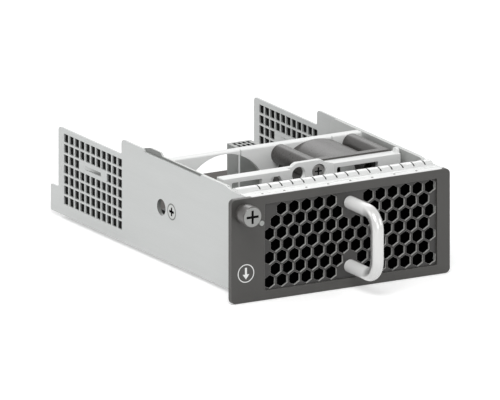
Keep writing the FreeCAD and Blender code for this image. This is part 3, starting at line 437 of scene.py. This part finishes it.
def make_materials():
    """The finish of each material slot in the record."""
    brushed = (1, 0.04, 1)
    return {
        "bezel_paint": surface("bezel_paint", "434240", rough=0.42, shade=0.05, grain=3200,
                               bump=0.25, edge_wear_and_highlight_colour="8d8b88", edge=0.3 * MM),
        # The light rims of the grille's cells are a painted highlight.
        "grille_paint": surface("grille_paint", "343332", rough=0.45, shade=0.05, grain=3200,
                                bump=0.25, edge_wear_and_highlight_colour="b4b3b0", edge_wear_and_highlight=0.9, edge=0.22 * MM),
        "zinc_sheet": surface("zinc_sheet", "cacccb", metallic=0.40, rough=0.42,
                              rough_spread=0.12, grain=1400, bump=0.10, shade=0.035,
                              shade_scale=45, stretch=brushed, edge_wear_and_highlight_colour="f4f5f4", edge_wear_and_highlight=0.8),
        "cage_plastic": surface("cage_plastic", "eeefee", rough=0.42, shade=0.02, bump=0.12,
                                edge_wear_and_highlight_colour="ffffff", edge_wear_and_highlight=0.6),
        "cage_sheet": surface("cage_sheet", "cdcfcd", metallic=0.3, rough=0.42, grain=1400,
                              bump=0.10, shade=0.04, stretch=brushed, edge_wear_and_highlight_colour="dcdddc"),
        "spring_steel": surface("spring_steel", "dbdcdb", metallic=0.45, rough=0.30,
                                grain=1500, bump=0.04, shade=0.02, stretch=(0.04, 1, 1),
                                edge_wear_and_highlight_colour="ffffff"),
        "handle_chrome": handle_feet_highlight_material(),
        "screw_zinc": surface("screw_zinc", "bcbebc", metallic=0.85, rough=0.32, bump=0.08,
                              edge_wear_and_highlight_colour="e6e7e6"),
        "dark_screw": surface("dark_screw", "a9a7a5", metallic=0.5, rough=0.34, bump=0.08,
                              edge_wear_and_highlight_colour="d0d0cd"),
        "knob_black": surface("knob_black", "4c4a48", rough=0.36, shade=0.05, bump=0.10,
                              edge_wear_and_highlight_colour="8c8b88", coat=0.4, coat_rough=0.25),
        "foam_black": surface("open_foam", "030303", rough=0.95, shade=0.3, grain=1800,
                              bump=0.9, grain_depth=0.4 * MM, specular=0.0),
        "fan_plastic": surface("fan_plastic", "403e3c", rough=0.30, shade=0.05, grain=2000,
                               bump=0.10, edge_wear_and_highlight_colour="7a7975"),
        "impeller_plastic": surface("impeller_plastic", "454341", rough=0.32, shade=0.06,
                                    bump=0.10, edge_wear_and_highlight_colour="4a4947"),
        "motor_steel": surface("motor_steel", "a2a3a4", metallic=0.9, rough=0.32, bump=0.08,
                               stretch=brushed),
        "magnet_ferrite": surface("magnet_ferrite", "2c2c2d", rough=0.6, bump=0.3),
        "bearing_brass": surface("bearing_brass", "c2a561", metallic=0.9, rough=0.28,
                                 bump=0.08, edge_wear_and_highlight_colour="e0cb8c"),
        "coil_copper": surface("coil_copper", "b0622f", metallic=0.8, rough=0.34, grain=900,
                               bump=0.5, stretch=(0.1, 4, 0.1)),
        "board_dark": circuit_board_material(),
        "socket_grey": surface("socket_grey", "a9aba9", rough=0.45, shade=0.05,
                               edge_wear_and_highlight_colour="adafad", edge_wear_and_highlight=0.6),
        "contact_gold": surface("contact_gold", "d0ae5a", metallic=1.0, rough=0.22, bump=0.05),
        "capacitor_can": surface("capacitor_can", "c4c6c8", metallic=0.85, rough=0.3, bump=0.06,
                                 stretch=(1, 1, 0.1)),
        "light_guide": surface("light_guide", "9fa29f", rough=0.35, shade=0.03, bump=0.05),
    }


def dress_nodes(materials):
    for part in frame["record"]["subparts"]:
        mesh = nodes[part["node"]].data
        mesh.materials.clear()
        mesh.materials.append(materials[part["material_slot"]])


def second_finish(node, material, chosen):
    """Gives the faces of a node that chosen(centre, normal) picks another finish."""
    mesh = nodes[node].data
    mesh.materials.append(material)
    index = len(mesh.materials) - 1
    for face in mesh.polygons:
        if chosen(face.center, face.normal):
            face.material_index = index


def recess_in_head(node, radius, depth):
    """Picks the faces of the cross recess in a head that looks along -Y."""
    low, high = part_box(node)
    middle = (low + high) / 2

    def chosen(c, n):
        near = math.hypot(c.x - middle.x, c.z - middle.z) < radius
        return near and low.y + skin < c.y < low.y + depth

    return chosen


def finish_front(shade):
    """Punched edges of the grille with painted shade in the cells, the knob's bare end with
    painted shade in its cross, painted shade in the fan screw's cross, and painted shade on the
    flange's top, seen through the finger strip's slits."""
    second_finish("front_grille", punched_edge_with_shade_material(), lambda c, n: abs(n.y) < runs_beside)
    bare_end = surface("knob_end", "929391", metallic=0.35, rough=0.36, shade=0.03, bump=0.08,
                       edge_wear_and_highlight_colour="d2d3d2", edge_wear_and_highlight=0.7)
    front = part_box("captive_knob")[0].y
    second_finish("captive_knob", bare_end,
                  lambda c, n: c.y < front + skin and n.y < -looks_along)
    second_finish("captive_knob", shade, recess_in_head("captive_knob", 3.0 * MM, 1.1 * MM))
    second_finish("fan_screw", shade, recess_in_head("fan_screw", 1.65 * MM, 1.2 * MM))

    # Painted shade: the flange's top face under the finger strip is near black, so its slits look
    # dark.
    slit_shade = surface("flange_painted_shade", "1c1c1c", rough=0.6, shade=0.1, bump=0.1, specular=0.2)
    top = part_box("front_frame")[1].z
    second_finish("front_frame", slit_shade, lambda c, n: c.z > top - skin and n.z > looks_along)


def finish_sheets():
    """Painted shade on the left cage plate's outside, on the walls of the guide holes and on the
    tongues.
    """
    # Painted shade: a darker copy of the sheet metal.
    sheet_shade = surface("sheet_shade", "7e807e", metallic=0.4, rough=0.4, shade=0.04, bump=0.10,
                        edge_wear_and_highlight_colour="b8bab8")
    hole = at(0, guide_hole_y, fan_z)
    hole_reach = 3.6 * MM

    def in_guide_hole(c, n):
        near = math.hypot(c.y - hole.y, c.z - hole.z) < hole_reach
        return near and abs(n.x) < runs_beside

    second_finish("left_cage_plate", sheet_shade, lambda c, n: n.x < -looks_along)
    for sheet in ("left_cheek", "right_cheek", "left_cage_plate", "right_cage_plate"):
        second_finish(sheet, sheet_shade, in_guide_hole)

    y0 = at(0, tongue_y0, 0).y
    y1 = at(0, tongue_y1, 0).y
    root_inset = 3 * MM
    tip_inset = 2 * MM
    least_tilt = 0.02
    tongue_shade = tongue_shade_material(y1 - root_inset, y0 + tip_inset)
    for cheek in ("left_cheek", "right_cheek"):
        second_finish(cheek, tongue_shade,
                      lambda c, n: y0 < c.y < y1 and least_tilt < abs(n.y) < runs_beside)


def finish_socket(shade):
    """Painted shade in the slots of the tall socket for the fan leads."""
    low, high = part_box("fan_terminal_block")
    inset = 0.3 * MM

    def in_slot(c, n):
        return (low.x + inset < c.x < high.x - inset and low.y + inset < c.y < high.y - inset
                and low.z + inset < c.z < high.z - skin)

    second_finish("fan_terminal_block", shade, in_slot)


def new_piece(name, bm, material, body="tray", sharp_from=None):
    """An object that rides on a body. With sharp_from it shades smooth, apart from the edges
    that turn by more than so many degrees."""
    bmesh.ops.recalc_face_normals(bm, faces=bm.faces)
    if sharp_from:
        for face in bm.faces:
            face.smooth = True
        for line in bm.edges:
            if len(line.link_faces) == 2 and line.calc_face_angle() > math.radians(sharp_from):
                line.smooth = False
    mesh = bpy.data.meshes.new(name)
    bm.to_mesh(mesh)
    bm.free()
    piece = bpy.data.objects.new(name, mesh)
    scene.collection.objects.link(piece)
    mesh.materials.append(material)
    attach(piece, body)
    return piece


def bridge(bm, rings):
    """Skins the gap between each ring of vertices and the next."""
    for low, high in zip(rings, rings[1:]):
        for k in range(len(low)):
            m = (k + 1) % len(low)
            bm.faces.new((low[k], low[m], high[m], high[k]))


def bridge_and_close(bm, rings):
    bridge(bm, rings)
    bm.faces.new(list(reversed(rings[0])))
    bm.faces.new(rings[-1])


def ring_about_y(bm, middle, y, radii):
    """A ring of vertices round the line along Y through middle, one for each radius."""
    turns = [2 * math.pi * k / len(radii) for k in range(len(radii))]
    return [bm.verts.new((middle.x + r * math.cos(t), y, middle.z + r * math.sin(t)))
            for r, t in zip(radii, turns)]


def add_turned(bm, profile, foot, around=40):
    """Solid turned about the vertical through foot, from (radius, height) pairs in mm."""
    turns = [2 * math.pi * k / around for k in range(around)]
    rings = [[bm.verts.new((foot.x + radius * MM * math.cos(t),
                            foot.y + radius * MM * math.sin(t),
                            foot.z + height * MM)) for t in turns]
             for radius, height in profile]
    bridge_and_close(bm, rings)


def add_box(bm, low, high, edge=0.0):
    """Block between two corners in metres, with its edges broken by edge."""
    made = bmesh.ops.create_cube(bm, size=1)["verts"]
    shift = Matrix.Translation((low + high) / 2)
    bmesh.ops.transform(bm, matrix=shift @ Matrix.Diagonal(high - low).to_4x4(), verts=made)
    if edge > 0:
        lines = list({line for v in made for line in v.link_edges})
        bmesh.ops.bevel(bm, geom=lines, offset=edge, segments=2, profile=0.6, affect="EDGES")


def add_prism(bm, outline, place, ends):
    """Closed prism of an outline between two ends; place(u, v, end) gives a point of it."""
    bridge_and_close(bm, [[bm.verts.new(place(u, v, end)) for u, v in outline] for end in ends])


def rounded(outline, steps=5):
    """Points of a closed outline given as (u, v) or (u, v, radius) corners."""
    points = []
    for k, corner in enumerate(outline):
        here = Vector(corner[:2])
        if len(corner) == 2:
            points.append(tuple(here))
            continue
        radius = corner[2]
        before = (Vector(outline[k - 1][:2]) - here).normalized()
        after = (Vector(outline[(k + 1) % len(outline)][:2]) - here).normalized()
        half = before.angle(after) / 2
        middle = here + (before + after).normalized() * radius / math.sin(half)
        start = here + before * radius / math.tan(half) - middle
        end = here + after * radius / math.tan(half) - middle
        for n in range(steps + 1):
            spot = (start * (steps - n) + end * n).normalized() * radius
            points.append(tuple(middle + spot))
    return points


def blank(bm):
    """An object for combining, from a closed mesh."""
    bmesh.ops.recalc_face_normals(bm, faces=bm.faces)
    mesh = bpy.data.meshes.new("solid")
    bm.to_mesh(mesh)
    bm.free()
    made = bpy.data.objects.new("solid", mesh)
    scene.collection.objects.link(made)
    return made


def solid(outline, place, ends):
    """A closed prism as a blank; place and ends are those of add_prism."""
    bm = bmesh.new()
    add_prism(bm, rounded(outline), place, ends)
    return blank(bm)


def along_x(outline, x0, x1):
    """Bar between two X places from corners in Y and Z."""
    return solid(outline, lambda y, z, x: at(x, y, z), (x0, x1))


def along_y(outline, y0, y1):
    """Plate between two Y places from corners in X and Z."""
    return solid(outline, lambda x, z, y: at(x, y, z), (y0, y1))


def along_z(outline, z0, z1):
    """Block between two heights from corners in X and Y."""
    return solid(outline, at, (z0, z1))


def span(a, b, c, d):
    """Corners of an upright rectangle from a to b and from c to d."""
    return [(a, c), (b, c), (b, d), (a, d)]


def circle(x, z, radius, around=40):
    turns = [2 * math.pi * k / around for k in range(around)]
    return [(x + radius * math.cos(t), z + radius * math.sin(t)) for t in turns]


def combine(base, tool, operation):
    """Cuts the tool from the base, or joins it on, and drops the tool."""
    step = base.modifiers.new("combine", "BOOLEAN")
    step.operation = operation
    step.solver = "EXACT"
    step.object = tool
    graph = bpy.context.evaluated_depsgraph_get()
    made = bpy.data.meshes.new_from_object(base.evaluated_get(graph))
    base.modifiers.clear()
    base.data = made
    bpy.data.objects.remove(tool)


def cut(base, tool):
    combine(base, tool, "DIFFERENCE")


def join(base, tool):
    combine(base, tool, "UNION")


def combined_piece(name, base, material):
    """The tray's piece that a combined blank becomes."""
    bm = bmesh.new()
    bm.from_mesh(base.data)
    bpy.data.objects.remove(base)
    bmesh.ops.remove_doubles(bm, verts=bm.verts, dist=0.001 * MM)
    return new_piece(name, bm, material, sharp_from=30)


def add_thread(bm, middle, radius, depth, pitch, y0, y1, around):
    """Rod along Y whose wall follows a V-shaped thread that runs out at its far end. Lengths
    are in metres."""
    steps_a_turn = 8
    steps = int((y1 - y0) / pitch * steps_a_turn)
    run_out = 1.2 * pitch
    tip_loss = 0.8 * depth
    rings = []
    for k in range(steps + 1):
        y = y0 + (y1 - y0) * k / steps
        near_end = min(1, (y1 - y) / run_out)
        radii = []
        for n in range(around):
            phase = ((y - y0) / pitch - n / around) % 1
            radii.append(radius - depth * abs(2 * phase - 1) - (1 - near_end) * tip_loss)
        rings.append(ring_about_y(bm, middle, y, radii))
    bridge_and_close(bm, rings)


def make_captive_thread(materials):
    """The captive screw's shank, with its plain neck and its cut thread."""
    low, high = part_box("captive_shank")
    middle = (low + high) / 2
    thread_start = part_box("captive_collar")[1].y + 0.1 * MM
    neck_r = 1.15 * MM
    thread_r = (high.x - low.x) / 2
    thread_depth = 0.32 * MM
    pitch = 0.5 * MM
    around = 28
    bm = bmesh.new()
    add_thread(bm, middle, thread_r, thread_depth, pitch, thread_start, high.y, around)
    bridge_and_close(bm, [ring_about_y(bm, middle, y, [neck_r] * around)
                          for y in (low.y, thread_start)])
    piece = new_piece("captive_screw_thread", bm, materials["screw_zinc"],
                      "lock_screw", sharp_from=50)
    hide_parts("captive_shank")


def make_captive_coil(materials):
    """The captive screw's spring, with closed end turns."""
    low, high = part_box("captive_spring")
    middle = (low + high) / 2
    wire = 0.25 * MM
    radius = (high.x - low.x) / 2 - wire
    length = high.y - low.y
    free_turns = 3
    closed_turns = 0.75
    per_turn = 24
    around = 10
    closed_rise = 2 * wire * closed_turns
    free_rise = length - 2 * wire - 2 * closed_rise
    bm = bmesh.new()
    rings = []
    for k in range(round((free_turns + 2 * closed_turns) * per_turn) + 1):
        turned = k / per_turn
        rise = closed_rise * min(1, turned / closed_turns)
        rise += free_rise * min(1, max(0, turned - closed_turns) / free_turns)
        rise += closed_rise * max(0, turned - closed_turns - free_turns) / closed_turns
        angle = 2 * math.pi * turned
        ring = []
        for n in range(around):
            a = 2 * math.pi * n / around
            r = radius + wire * math.cos(a)
            ring.append(bm.verts.new((middle.x + r * math.cos(angle),
                                      low.y + wire + rise + wire * math.sin(a),
                                      middle.z + r * math.sin(angle))))
        rings.append(ring)
    bridge_and_close(bm, rings)
    piece = new_piece("captive_spring_coil", bm, materials["motor_steel"],
                      sharp_from=60)
    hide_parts("captive_spring")
    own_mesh(piece)


def make_airflow_mark():
    """Plain painted ring with an arrow on the bezel, for the way the air blows."""
    middle = at(6.6, -0.02, 11.8)
    thick = 0.03 * MM
    ring_r = 3.7 * MM
    line = 0.38 * MM
    around = 48
    bm = bmesh.new()
    inner_front, inner_back, outer_front, outer_back = [
        ring_about_y(bm, middle, middle.y + depth, [radius] * around)
        for radius in (ring_r - line, ring_r) for depth in (0, thick)]
    bridge(bm, [inner_front, outer_front, outer_back, inner_back, inner_front])

    half = 0.45
    shaft_top = 2.3
    neck = -0.4
    tip = -2.4
    barb = 1.5
    arrow = [(-half, shaft_top), (half, shaft_top), (half, neck), (barb, neck), (0, tip),
             (-barb, neck), (-half, neck)]
    add_prism(bm, arrow, lambda x, z, y: middle + Vector((x * MM, y, z * MM)), (0, thick))
    paint = surface("mark_paint", "e9eae9", shade=0.02, bump=0.05)
    new_piece("airflow_mark", bm, paint)


def cage_front_windows(sill, head):
    """Outlines of the three windows in the cage's front, from the sill up to the head bar."""
    shoulder = sill + 6.0
    neck_z = 29.4
    tall = [(left_bay - 15.9, sill, 2.0), (left_bay - 2.4, sill, 1.0),
            (left_bay - 2.4, head, 0.5), (left_bay - 15.9, head, 0.5)]
    necked = [(left_bay + 1.2, sill, 1.0), (left_bay + 14, sill, 2.0),
              (left_bay + 17, shoulder, 2.0), (left_bay + 17, neck_z - 3.2, 2.0),
              (left_bay + 8, neck_z, 1.0), (left_bay + 8, head - 4.2, 1.0),
              (left_bay + 5.5, head, 0.4), (left_bay + 1.9, head, 0.4),
              (left_bay + 1.2, head - 2.3, 0.4)]
    wide = [(right_bay - 12, sill, 2.0), (right_bay + 12, sill, 2.0),
            (right_bay + 17, shoulder, 2.0), (right_bay + 17, head - 9.6, 2.0),
            (right_bay + 8.7, head - 3.1, 1.0), (right_bay + 8.7, head, 0.5),
            (right_bay - 9.7, head, 0.5), (right_bay - 9.7, neck_z, 1.0),
            (right_bay - 17, neck_z - 3.2, 2.0), (right_bay - 17, shoulder, 2.0)]
    return (tall, necked, wide)


def add_screw_pad(base, front, pad_y, back, top):
    """A pocket in the cage's front that sets the raised screw pad back against the fans."""
    pad_x0 = 46.2
    pad_x1 = 62.0
    pad_top = 42.8
    pad_r = 3.0
    hole_r = 3.0
    slope = 1.2
    shell = 1.2
    pocket_x0 = pad_x0 - 2.0
    pocket_x1 = pad_x1 + 0.3
    pocket_x2 = pocket_x1 + slope
    pocket_z = 31.8
    mouth = front - clear
    join(base, along_y(span(pocket_x0 - shell, pocket_x2 + shell, pocket_z - shell, top),
                       front, back))
    pocket = [(pocket_x0, mouth), (pocket_x2, mouth), (pocket_x2, front), (pocket_x1, pad_y),
              (pocket_x0, pad_y)]
    cut(base, along_z(pocket, pocket_z, pad_top + clear))
    pad = [(pad_x0, pocket_z - clear), (pad_x1, pocket_z - clear), (pad_x1, pad_top, pad_r),
           (pad_x0, pad_top, pad_r)]
    join(base, along_y(pad, pad_y, back))
    for x in (left_bay + fan_screw_offset, right_bay - fan_screw_offset):
        hole = circle(x, fan_z + fan_screw_offset, hole_r)
        cut(base, along_y(hole, pad_y - clear, back + clear))


def make_cage_front(materials):
    """Moulded front of the fan cage: a front skin with cut-outs, hollow towards the fans, with
    a screw pad and a small tab at its right end."""
    (_, front, floor), (_, back, _) = extent("cage_front_duct")
    x0 = 14.0
    x1 = 93.4
    top = 41.5
    wall = 2.2
    rim = 1.4
    overhang = 0.7
    head = top - 1.8
    sill = floor + 4.0
    inner_x0 = x0 + overhang
    base = along_y([(inner_x0, floor), (x1, floor), (x1, top), (x0, top, 0.4), (x0, head),
                    (inner_x0, head)], front, back)
    hollow = span(inner_x0 + rim, x1 - rim, floor + rim, top - rim)
    cut(base, along_y(hollow, front + wall, back + clear))
    for window in cage_front_windows(sill, head):
        cut(base, along_y(window, front - clear, front + wall + clear))
    add_screw_pad(base, front, back - wall, back, top)

    tab_t = 1.1
    tab_y0 = front + 1.0
    tab_y1 = tab_y0 + 3.2
    tab_top = top + 1.9
    tab = [(tab_y0, top - clear), (tab_y1, top - clear), (tab_y1, tab_top, 1.0),
           (tab_y0, tab_top, 1.0)]
    join(base, along_x(tab, x1 - tab_t, x1))
    piece = combined_piece("cage_front_moulding", base, materials["cage_plastic"])
    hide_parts("cage_front_duct")


def make_bulkhead(materials):
    """Rear bulkhead of the cage: each outlet bore has a thin guard bar across it, and a groove
    in the plate's front above the bar."""
    (x0, front, floor), (x1, lip_end, top) = extent("cage_rear_plate")
    back = front + 2.0
    lip_low = top - 1.0
    lip_overlap = 0.5
    bore_r = 19.2
    bar_w = 0.55
    bar_offset = 6.6
    bar_sink = 0.3
    bar_y0 = front + 0.1
    slit_w = 0.5
    slit_z = fan_z + 15
    screw_hole_r = 1.55
    base = along_y(span(x0, x1, floor, lip_low + lip_overlap), front, back)
    lip = [(front, lip_low), (lip_end, lip_low, 0.3), (lip_end, top, 0.3), (front, top, 0.6)]
    join(base, along_x(lip, x0, x1))
    for bay in (left_bay, right_bay):
        cut(base, along_y(circle(bay, fan_z, bore_r, 72), front - clear, back + clear))
        bar_x0 = bay + bar_offset
        bar_x1 = bar_x0 + bar_w
        reach = math.sqrt(bore_r ** 2 - bar_offset ** 2) + bar_sink
        join(base, along_y(span(bar_x0, bar_x1, fan_z - reach, fan_z + reach), bar_y0,
                           bar_y0 + bar_w))
        slit = span(bar_x1, bar_x1 + slit_w, slit_z, top + clear)
        cut(base, along_y(slit, front - clear, front + clear))
    hole = circle(right_bay - fan_screw_offset, fan_z + fan_screw_offset, screw_hole_r)
    cut(base, along_y(hole, front - clear, back + clear))
    piece = combined_piece("cage_bulkhead", base, materials["cage_plastic"])
    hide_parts("cage_rear_plate")


def make_side_screws(shade):
    """Countersunk side screws, each with a bold cross recess in its flush head."""
    low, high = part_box("side_screws")
    y = (low.y + high.y) / 2
    z = (low.z + high.z) / 2
    head_r = 3.35
    shank_r = 1.5
    head_depth = 1.1
    length = 1.9
    reach = 1.75 * MM
    half = 0.5 * MM
    depth = 0.9 * MM
    spare = 0.05 * MM
    before = clear * MM
    around = 48
    profile = [(head_r, 0), (shank_r, head_depth), (shank_r, length)]
    cross = [(-half, -reach), (half, -reach), (half, -half), (reach, -half), (reach, half),
             (half, half), (half, reach), (-half, reach), (-half, half), (-reach, half),
             (-reach, -half), (-half, -half)]
    screws = []
    for face_x, inward in ((low.x, 1), (high.x, -1)):
        bm = bmesh.new()
        add_turned(bm, profile, Vector((0, 0, 0)), around)
        turn = Matrix.Rotation(math.radians(90 * inward), 4, "Y")
        shift = Matrix.Translation((face_x, y, z))
        bmesh.ops.transform(bm, matrix=shift @ turn, verts=bm.verts)
        screw = blank(bm)
        cut(screw, solid(cross, lambda u, v, x: Vector((x, y + u, z + v)),
                         (face_x - inward * before, face_x + inward * depth)))
        screws.append(screw)
    join(screws[0], screws[1])
    piece = combined_piece("side_screw_heads", screws[0],
                           side_screw_rim_shade_material(Vector((0, y, z))))
    piece.data.materials.append(shade)
    for face in piece.data.polygons:
        sunk = min(face.center.x - low.x, high.x - face.center.x)
        near = math.hypot(face.center.y - y, face.center.z - z) < reach + spare
        face.material_index = int(near and skin < sunk < depth + skin)
    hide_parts("side_screws")


def make_vent_gauze():
    """Fine black gauze let into each cheek behind its square vents, open at the tongue."""
    gauze = gauze_material()
    half = 0.05
    y0 = 99.7
    y1 = 144.8
    z0 = 6.0
    z1 = 34.4
    left_x = 9.14
    right_x = 96.9
    strips = ((y0, y1, z0, tongue_z0), (y0, y1, tongue_z1, z1),
              (y0, tongue_y0, tongue_z0, tongue_z1), (tongue_y1, y1, tongue_z0, tongue_z1))
    for name, x in (("left_vent_gauze", left_x), ("right_vent_gauze", right_x)):
        bm = bmesh.new()
        for a, b, c, d in strips:
            add_box(bm, at(x - half, a, c), at(x + half, b, d))
        new_piece(name, bm, gauze)


def make_strip_end(materials):
    """Plain closed tab at the finger strip's left end, over its land and first finger."""
    (_, front, flange), (_, strip_rear, strip_top) = extent("spring_finger_strip")
    x0 = 8.45
    x1 = 17.7
    proud = 0.03
    rear = strip_rear - 0.02
    land = flange + strip_t + proud
    rise = strip_top + proud - land
    arch = 6.4
    steps = 12
    outline = [(rear, flange)]
    for k in range(steps + 1):
        share = k / steps
        outline.append((rear - arch * share, land + rise * 4 * share * (1 - share)))
    outline += [(front, land), (front, flange)]
    bm = bmesh.new()
    add_prism(bm, outline, lambda y, z, x: at(x, y, z), (x0, x1))
    new_piece("strip_end_tab", bm, materials["spring_steel"], sharp_from=30)


def make_strip_dimples():
    """Row of small half-pierced buttons that clip the finger strip to its flange."""
    (x0, front, flange), (x1, _, _) = extent("spring_finger_strip")
    pitch = 9.88
    shift_left = 2.0
    from_front = 3.2
    foot_z = flange + strip_t - 0.05
    profile = [(0.5, 0), (0.5, 0.10), (0.4, 0.17), (0.2, 0.2), (0.1, 0.2)]
    count = int((x1 - x0) / pitch)
    first = (x0 + x1) / 2 - (count - 1) / 2 * pitch - shift_left
    bm = bmesh.new()
    for k in range(count):
        add_turned(bm, profile, at(first + k * pitch, front + from_front, foot_z), 20)
    steel = surface("dimple_steel", "6b6a68", metallic=0.6, rough=0.4, bump=0.05)
    new_piece("strip_dimples", bm, steel, sharp_from=60)


def add_gull_wings(bm, x, y, body_w, body_d, count, top):
    """Two rows of bent leads along the long sides of a chip."""
    lead_w = 0.4
    lead_t = 0.2
    mid = 0.7
    wing = [(0, mid + lead_t), (0.45, mid + lead_t), (0.75, lead_t), (1.25, lead_t), (1.25, 0),
            (0.6, 0), (0.3, mid), (0, mid)]
    for side in (-1, 1):
        edge_y = y + side * body_d / 2
        for k in range(count):
            lead_x = x + body_w * ((k + 0.5) / count - 0.5) - lead_w / 2
            add_prism(bm, wing, lambda u, v, x: at(x, edge_y + side * u, top + v),
                      (lead_x, lead_x + lead_w))


def make_chips(chips, top, epoxy, tin):
    """Chips with bent leads; each is (x, y, width, depth, height, leads on a side)."""
    stand_off = 0.12
    edge = 0.18 * MM
    bodies = bmesh.new()
    leads = bmesh.new()
    for x, y, w, d, h, count in chips:
        add_box(bodies, at(x - w / 2, y - d / 2, top + stand_off),
                at(x + w / 2, y + d / 2, top + h), edge)
        add_gull_wings(leads, x, y, w, d, count, top)
    new_piece("board_chips", bodies, epoxy)
    new_piece("chip_leads", leads, tin)


def make_board_coils(top):
    """Two round choke coils, each on a square foot."""
    ferrite = surface("ferrite_grey", "55565a", rough=0.55, shade=0.08, bump=0.35)
    half = 3.4
    foot_h = 0.8
    edge = 0.15 * MM
    drum = [(2.9, 0.7), (3.1, 1.0), (3.1, 2.9), (2.8, 3.3), (0.2, 3.3)]
    bm = bmesh.new()
    for x, y in ((83.0, 104.0), (83.0, 116.0)):
        add_box(bm, at(x - half, y - half, top), at(x + half, y + half, top + foot_h), edge)
        add_turned(bm, drum, at(x, y, top), 32)
    new_piece("board_coils", bm, ferrite, sharp_from=40)


def make_small_parts(top, epoxy, tin):
    """Chip resistors, with a taller chip capacitor in every third place, and the tinned ends
    and lands of these, of the board's screws and of the rear plug's pins."""
    tan = surface("ceramic_tan", "9a7a58", shade=0.05, bump=0.1)
    places = [(44, 97), (44, 100), (44, 103), (22, 97), (22, 101), (22, 105), (60, 108),
              (64, 108), (68, 108), (72, 108), (60, 124), (65, 124), (70, 124), (38, 126),
              (38, 130), (24, 130), (28, 130), (66, 132), (71, 132), (76, 132), (62, 84),
              (66, 84), (70, 84)]
    resistor_h = 0.5
    capacitor_h = 0.9
    stand_off = 0.02
    half_l = 0.65
    half_w = 0.6
    edge = 0.05 * MM
    end_offset = 0.83
    end_half = 0.2
    end_t = 0.03
    land_offset = 1.15
    land_half = 0.35
    land_spare = 0.2
    land_t = 0.04
    resistors = bmesh.new()
    capacitors = bmesh.new()
    tinned = bmesh.new()
    for k, (x, y) in enumerate(places):
        body = resistors
        height = resistor_h
        if k % 3 == 0:
            body = capacitors
            height = capacitor_h
        add_box(body, at(x - half_l, y - half_w, top + stand_off),
                at(x + half_l, y + half_w, top + height), edge)
        for side in (-1, 1):
            end_x = x + side * end_offset
            end_w = half_w + end_t
            add_box(tinned, at(end_x - end_half, y - end_w, top),
                    at(end_x + end_half, y + end_w, top + height + end_t), edge)
            land_x = x + side * land_offset
            land_w = half_w + land_spare
            add_box(tinned, at(land_x - land_half, y - land_w, top - into_board),
                    at(land_x + land_half, y + land_w, top + land_t))
    new_piece("chip_resistors", resistors, epoxy)
    new_piece("chip_capacitors", capacitors, tan)

    screw_land = [(3.7, -into_board), (3.7, land_t), (2.6, land_t)]
    for y in (86.0, 139.0):
        for x in (18.2, 87.2):
            add_turned(tinned, screw_land, at(x, y, top), 40)
    pin_joint = [(0.75, -into_board), (0.7, 0.15), (0.35, 0.55), (0.3, 0.9)]
    pins_y = 138.2
    pin_count = 10
    (pins_x0, _, _), (pins_x1, _, _) = extent("plug_contacts")
    contact_w = 0.8
    pin_pitch = (pins_x1 - pins_x0 - contact_w) / (pin_count - 1)
    for k in range(pin_count):
        x = pins_x0 + contact_w / 2 + k * pin_pitch
        add_turned(tinned, pin_joint, at(x, pins_y, top), 14)
    new_piece("solder_lands", tinned, tin, sharp_from=40)


def make_chip_outlines(chips, top):
    """Printed lines beside the chips."""
    white_ink = surface("board_ink", "dfe0de", rough=0.6, shade=0.03, bump=0.05)
    half_line = 0.1
    line_t = 0.02
    from_chip = 0.9
    past_chip = 1.4
    ink = bmesh.new()
    for x, y, w, d, *_ in chips:
        for side in (-1, 1):
            line_x = x + side * (w / 2 + from_chip)
            reach = d / 2 + past_chip
            add_box(ink, at(line_x - half_line, y - reach, top - into_board),
                    at(line_x + half_line, y + reach, top + line_t))
    new_piece("board_outlines", ink, white_ink)


def make_board_parts():
    """Generic parts on top of the rear board."""
    _, (_, _, top) = extent("control_board")
    epoxy = surface("chip_epoxy", "232324", shade=0.05, bump=0.2, edge_wear_and_highlight_colour="454546")
    tin = surface("soldered_tin", "c9cbcc", metallic=0.9, rough=0.28, shade=0.06, bump=0.12)
    chips = [(34.0, 101.0, 10.3, 7.5, 2.3, 8), (60.0, 116.0, 4.9, 3.9, 1.6, 4),
             (71.0, 116.0, 4.9, 3.9, 1.6, 4), (30.0, 122.0, 8.6, 5.3, 1.8, 7)]
    make_chips(chips, top, epoxy, tin)
    make_board_coils(top)
    make_small_parts(top, epoxy, tin)
    make_chip_outlines(chips, top)


def make_capacitor_cans(materials):
    """Electrolytic cans with a crimped groove, a folded rim and a scored top."""
    low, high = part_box("board_capacitors")
    radius = (high.y - low.y) / 2 / MM
    height = (high.z - low.z) / MM
    well = height - 0.18
    profile = [(radius - 0.6, 0), (radius - 0.15, 0.1), (radius, 0.35), (radius, 1.5),
               (radius - 0.35, 1.8), (radius - 0.35, 2.1), (radius, 2.4), (radius, height - 0.45),
               (radius - 0.12, height - 0.15), (radius - 0.4, height), (radius - 0.75, height),
               (radius - 0.85, well), (0.2, well)]
    score = Matrix.Diagonal(Vector((1.5 * radius, 0.16, 0.1)) * MM).to_4x4()
    score_z = (well - 0.01) * MM
    bm = bmesh.new()
    for x in (low.x + radius * MM, high.x - radius * MM):
        foot = Vector((x, (low.y + high.y) / 2, low.z))
        add_turned(bm, profile, foot, 56)
        for turn in (45, 135):
            line = bmesh.ops.create_cube(bm, size=1)["verts"]
            spin = Matrix.Rotation(math.radians(turn), 4, "Z")
            shift = Matrix.Translation(foot + Vector((0, 0, score_z)))
            bmesh.ops.transform(bm, matrix=shift @ spin @ score, verts=line)
    piece = new_piece("capacitor_cans", bm, materials["capacitor_can"],
                      sharp_from=35)
    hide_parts("board_capacitors")


make_camera()
make_world()
make_floor()
make_lights()
materials = make_materials()
dress_nodes(materials)
recess_shade = surface("recess_shade", "0b0b0b", rough=0.7, shade=0.1, bump=0.1, specular=0.1)
finish_front(recess_shade)
finish_sheets()
finish_socket(recess_shade)
make_captive_thread(materials)
make_captive_coil(materials)
make_airflow_mark()
make_cage_front(materials)
make_bulkhead(materials)
make_side_screws(recess_shade)
make_vent_gauze()
make_strip_end(materials)
make_strip_dimples()
make_board_parts()
make_capacitor_cans(materials)
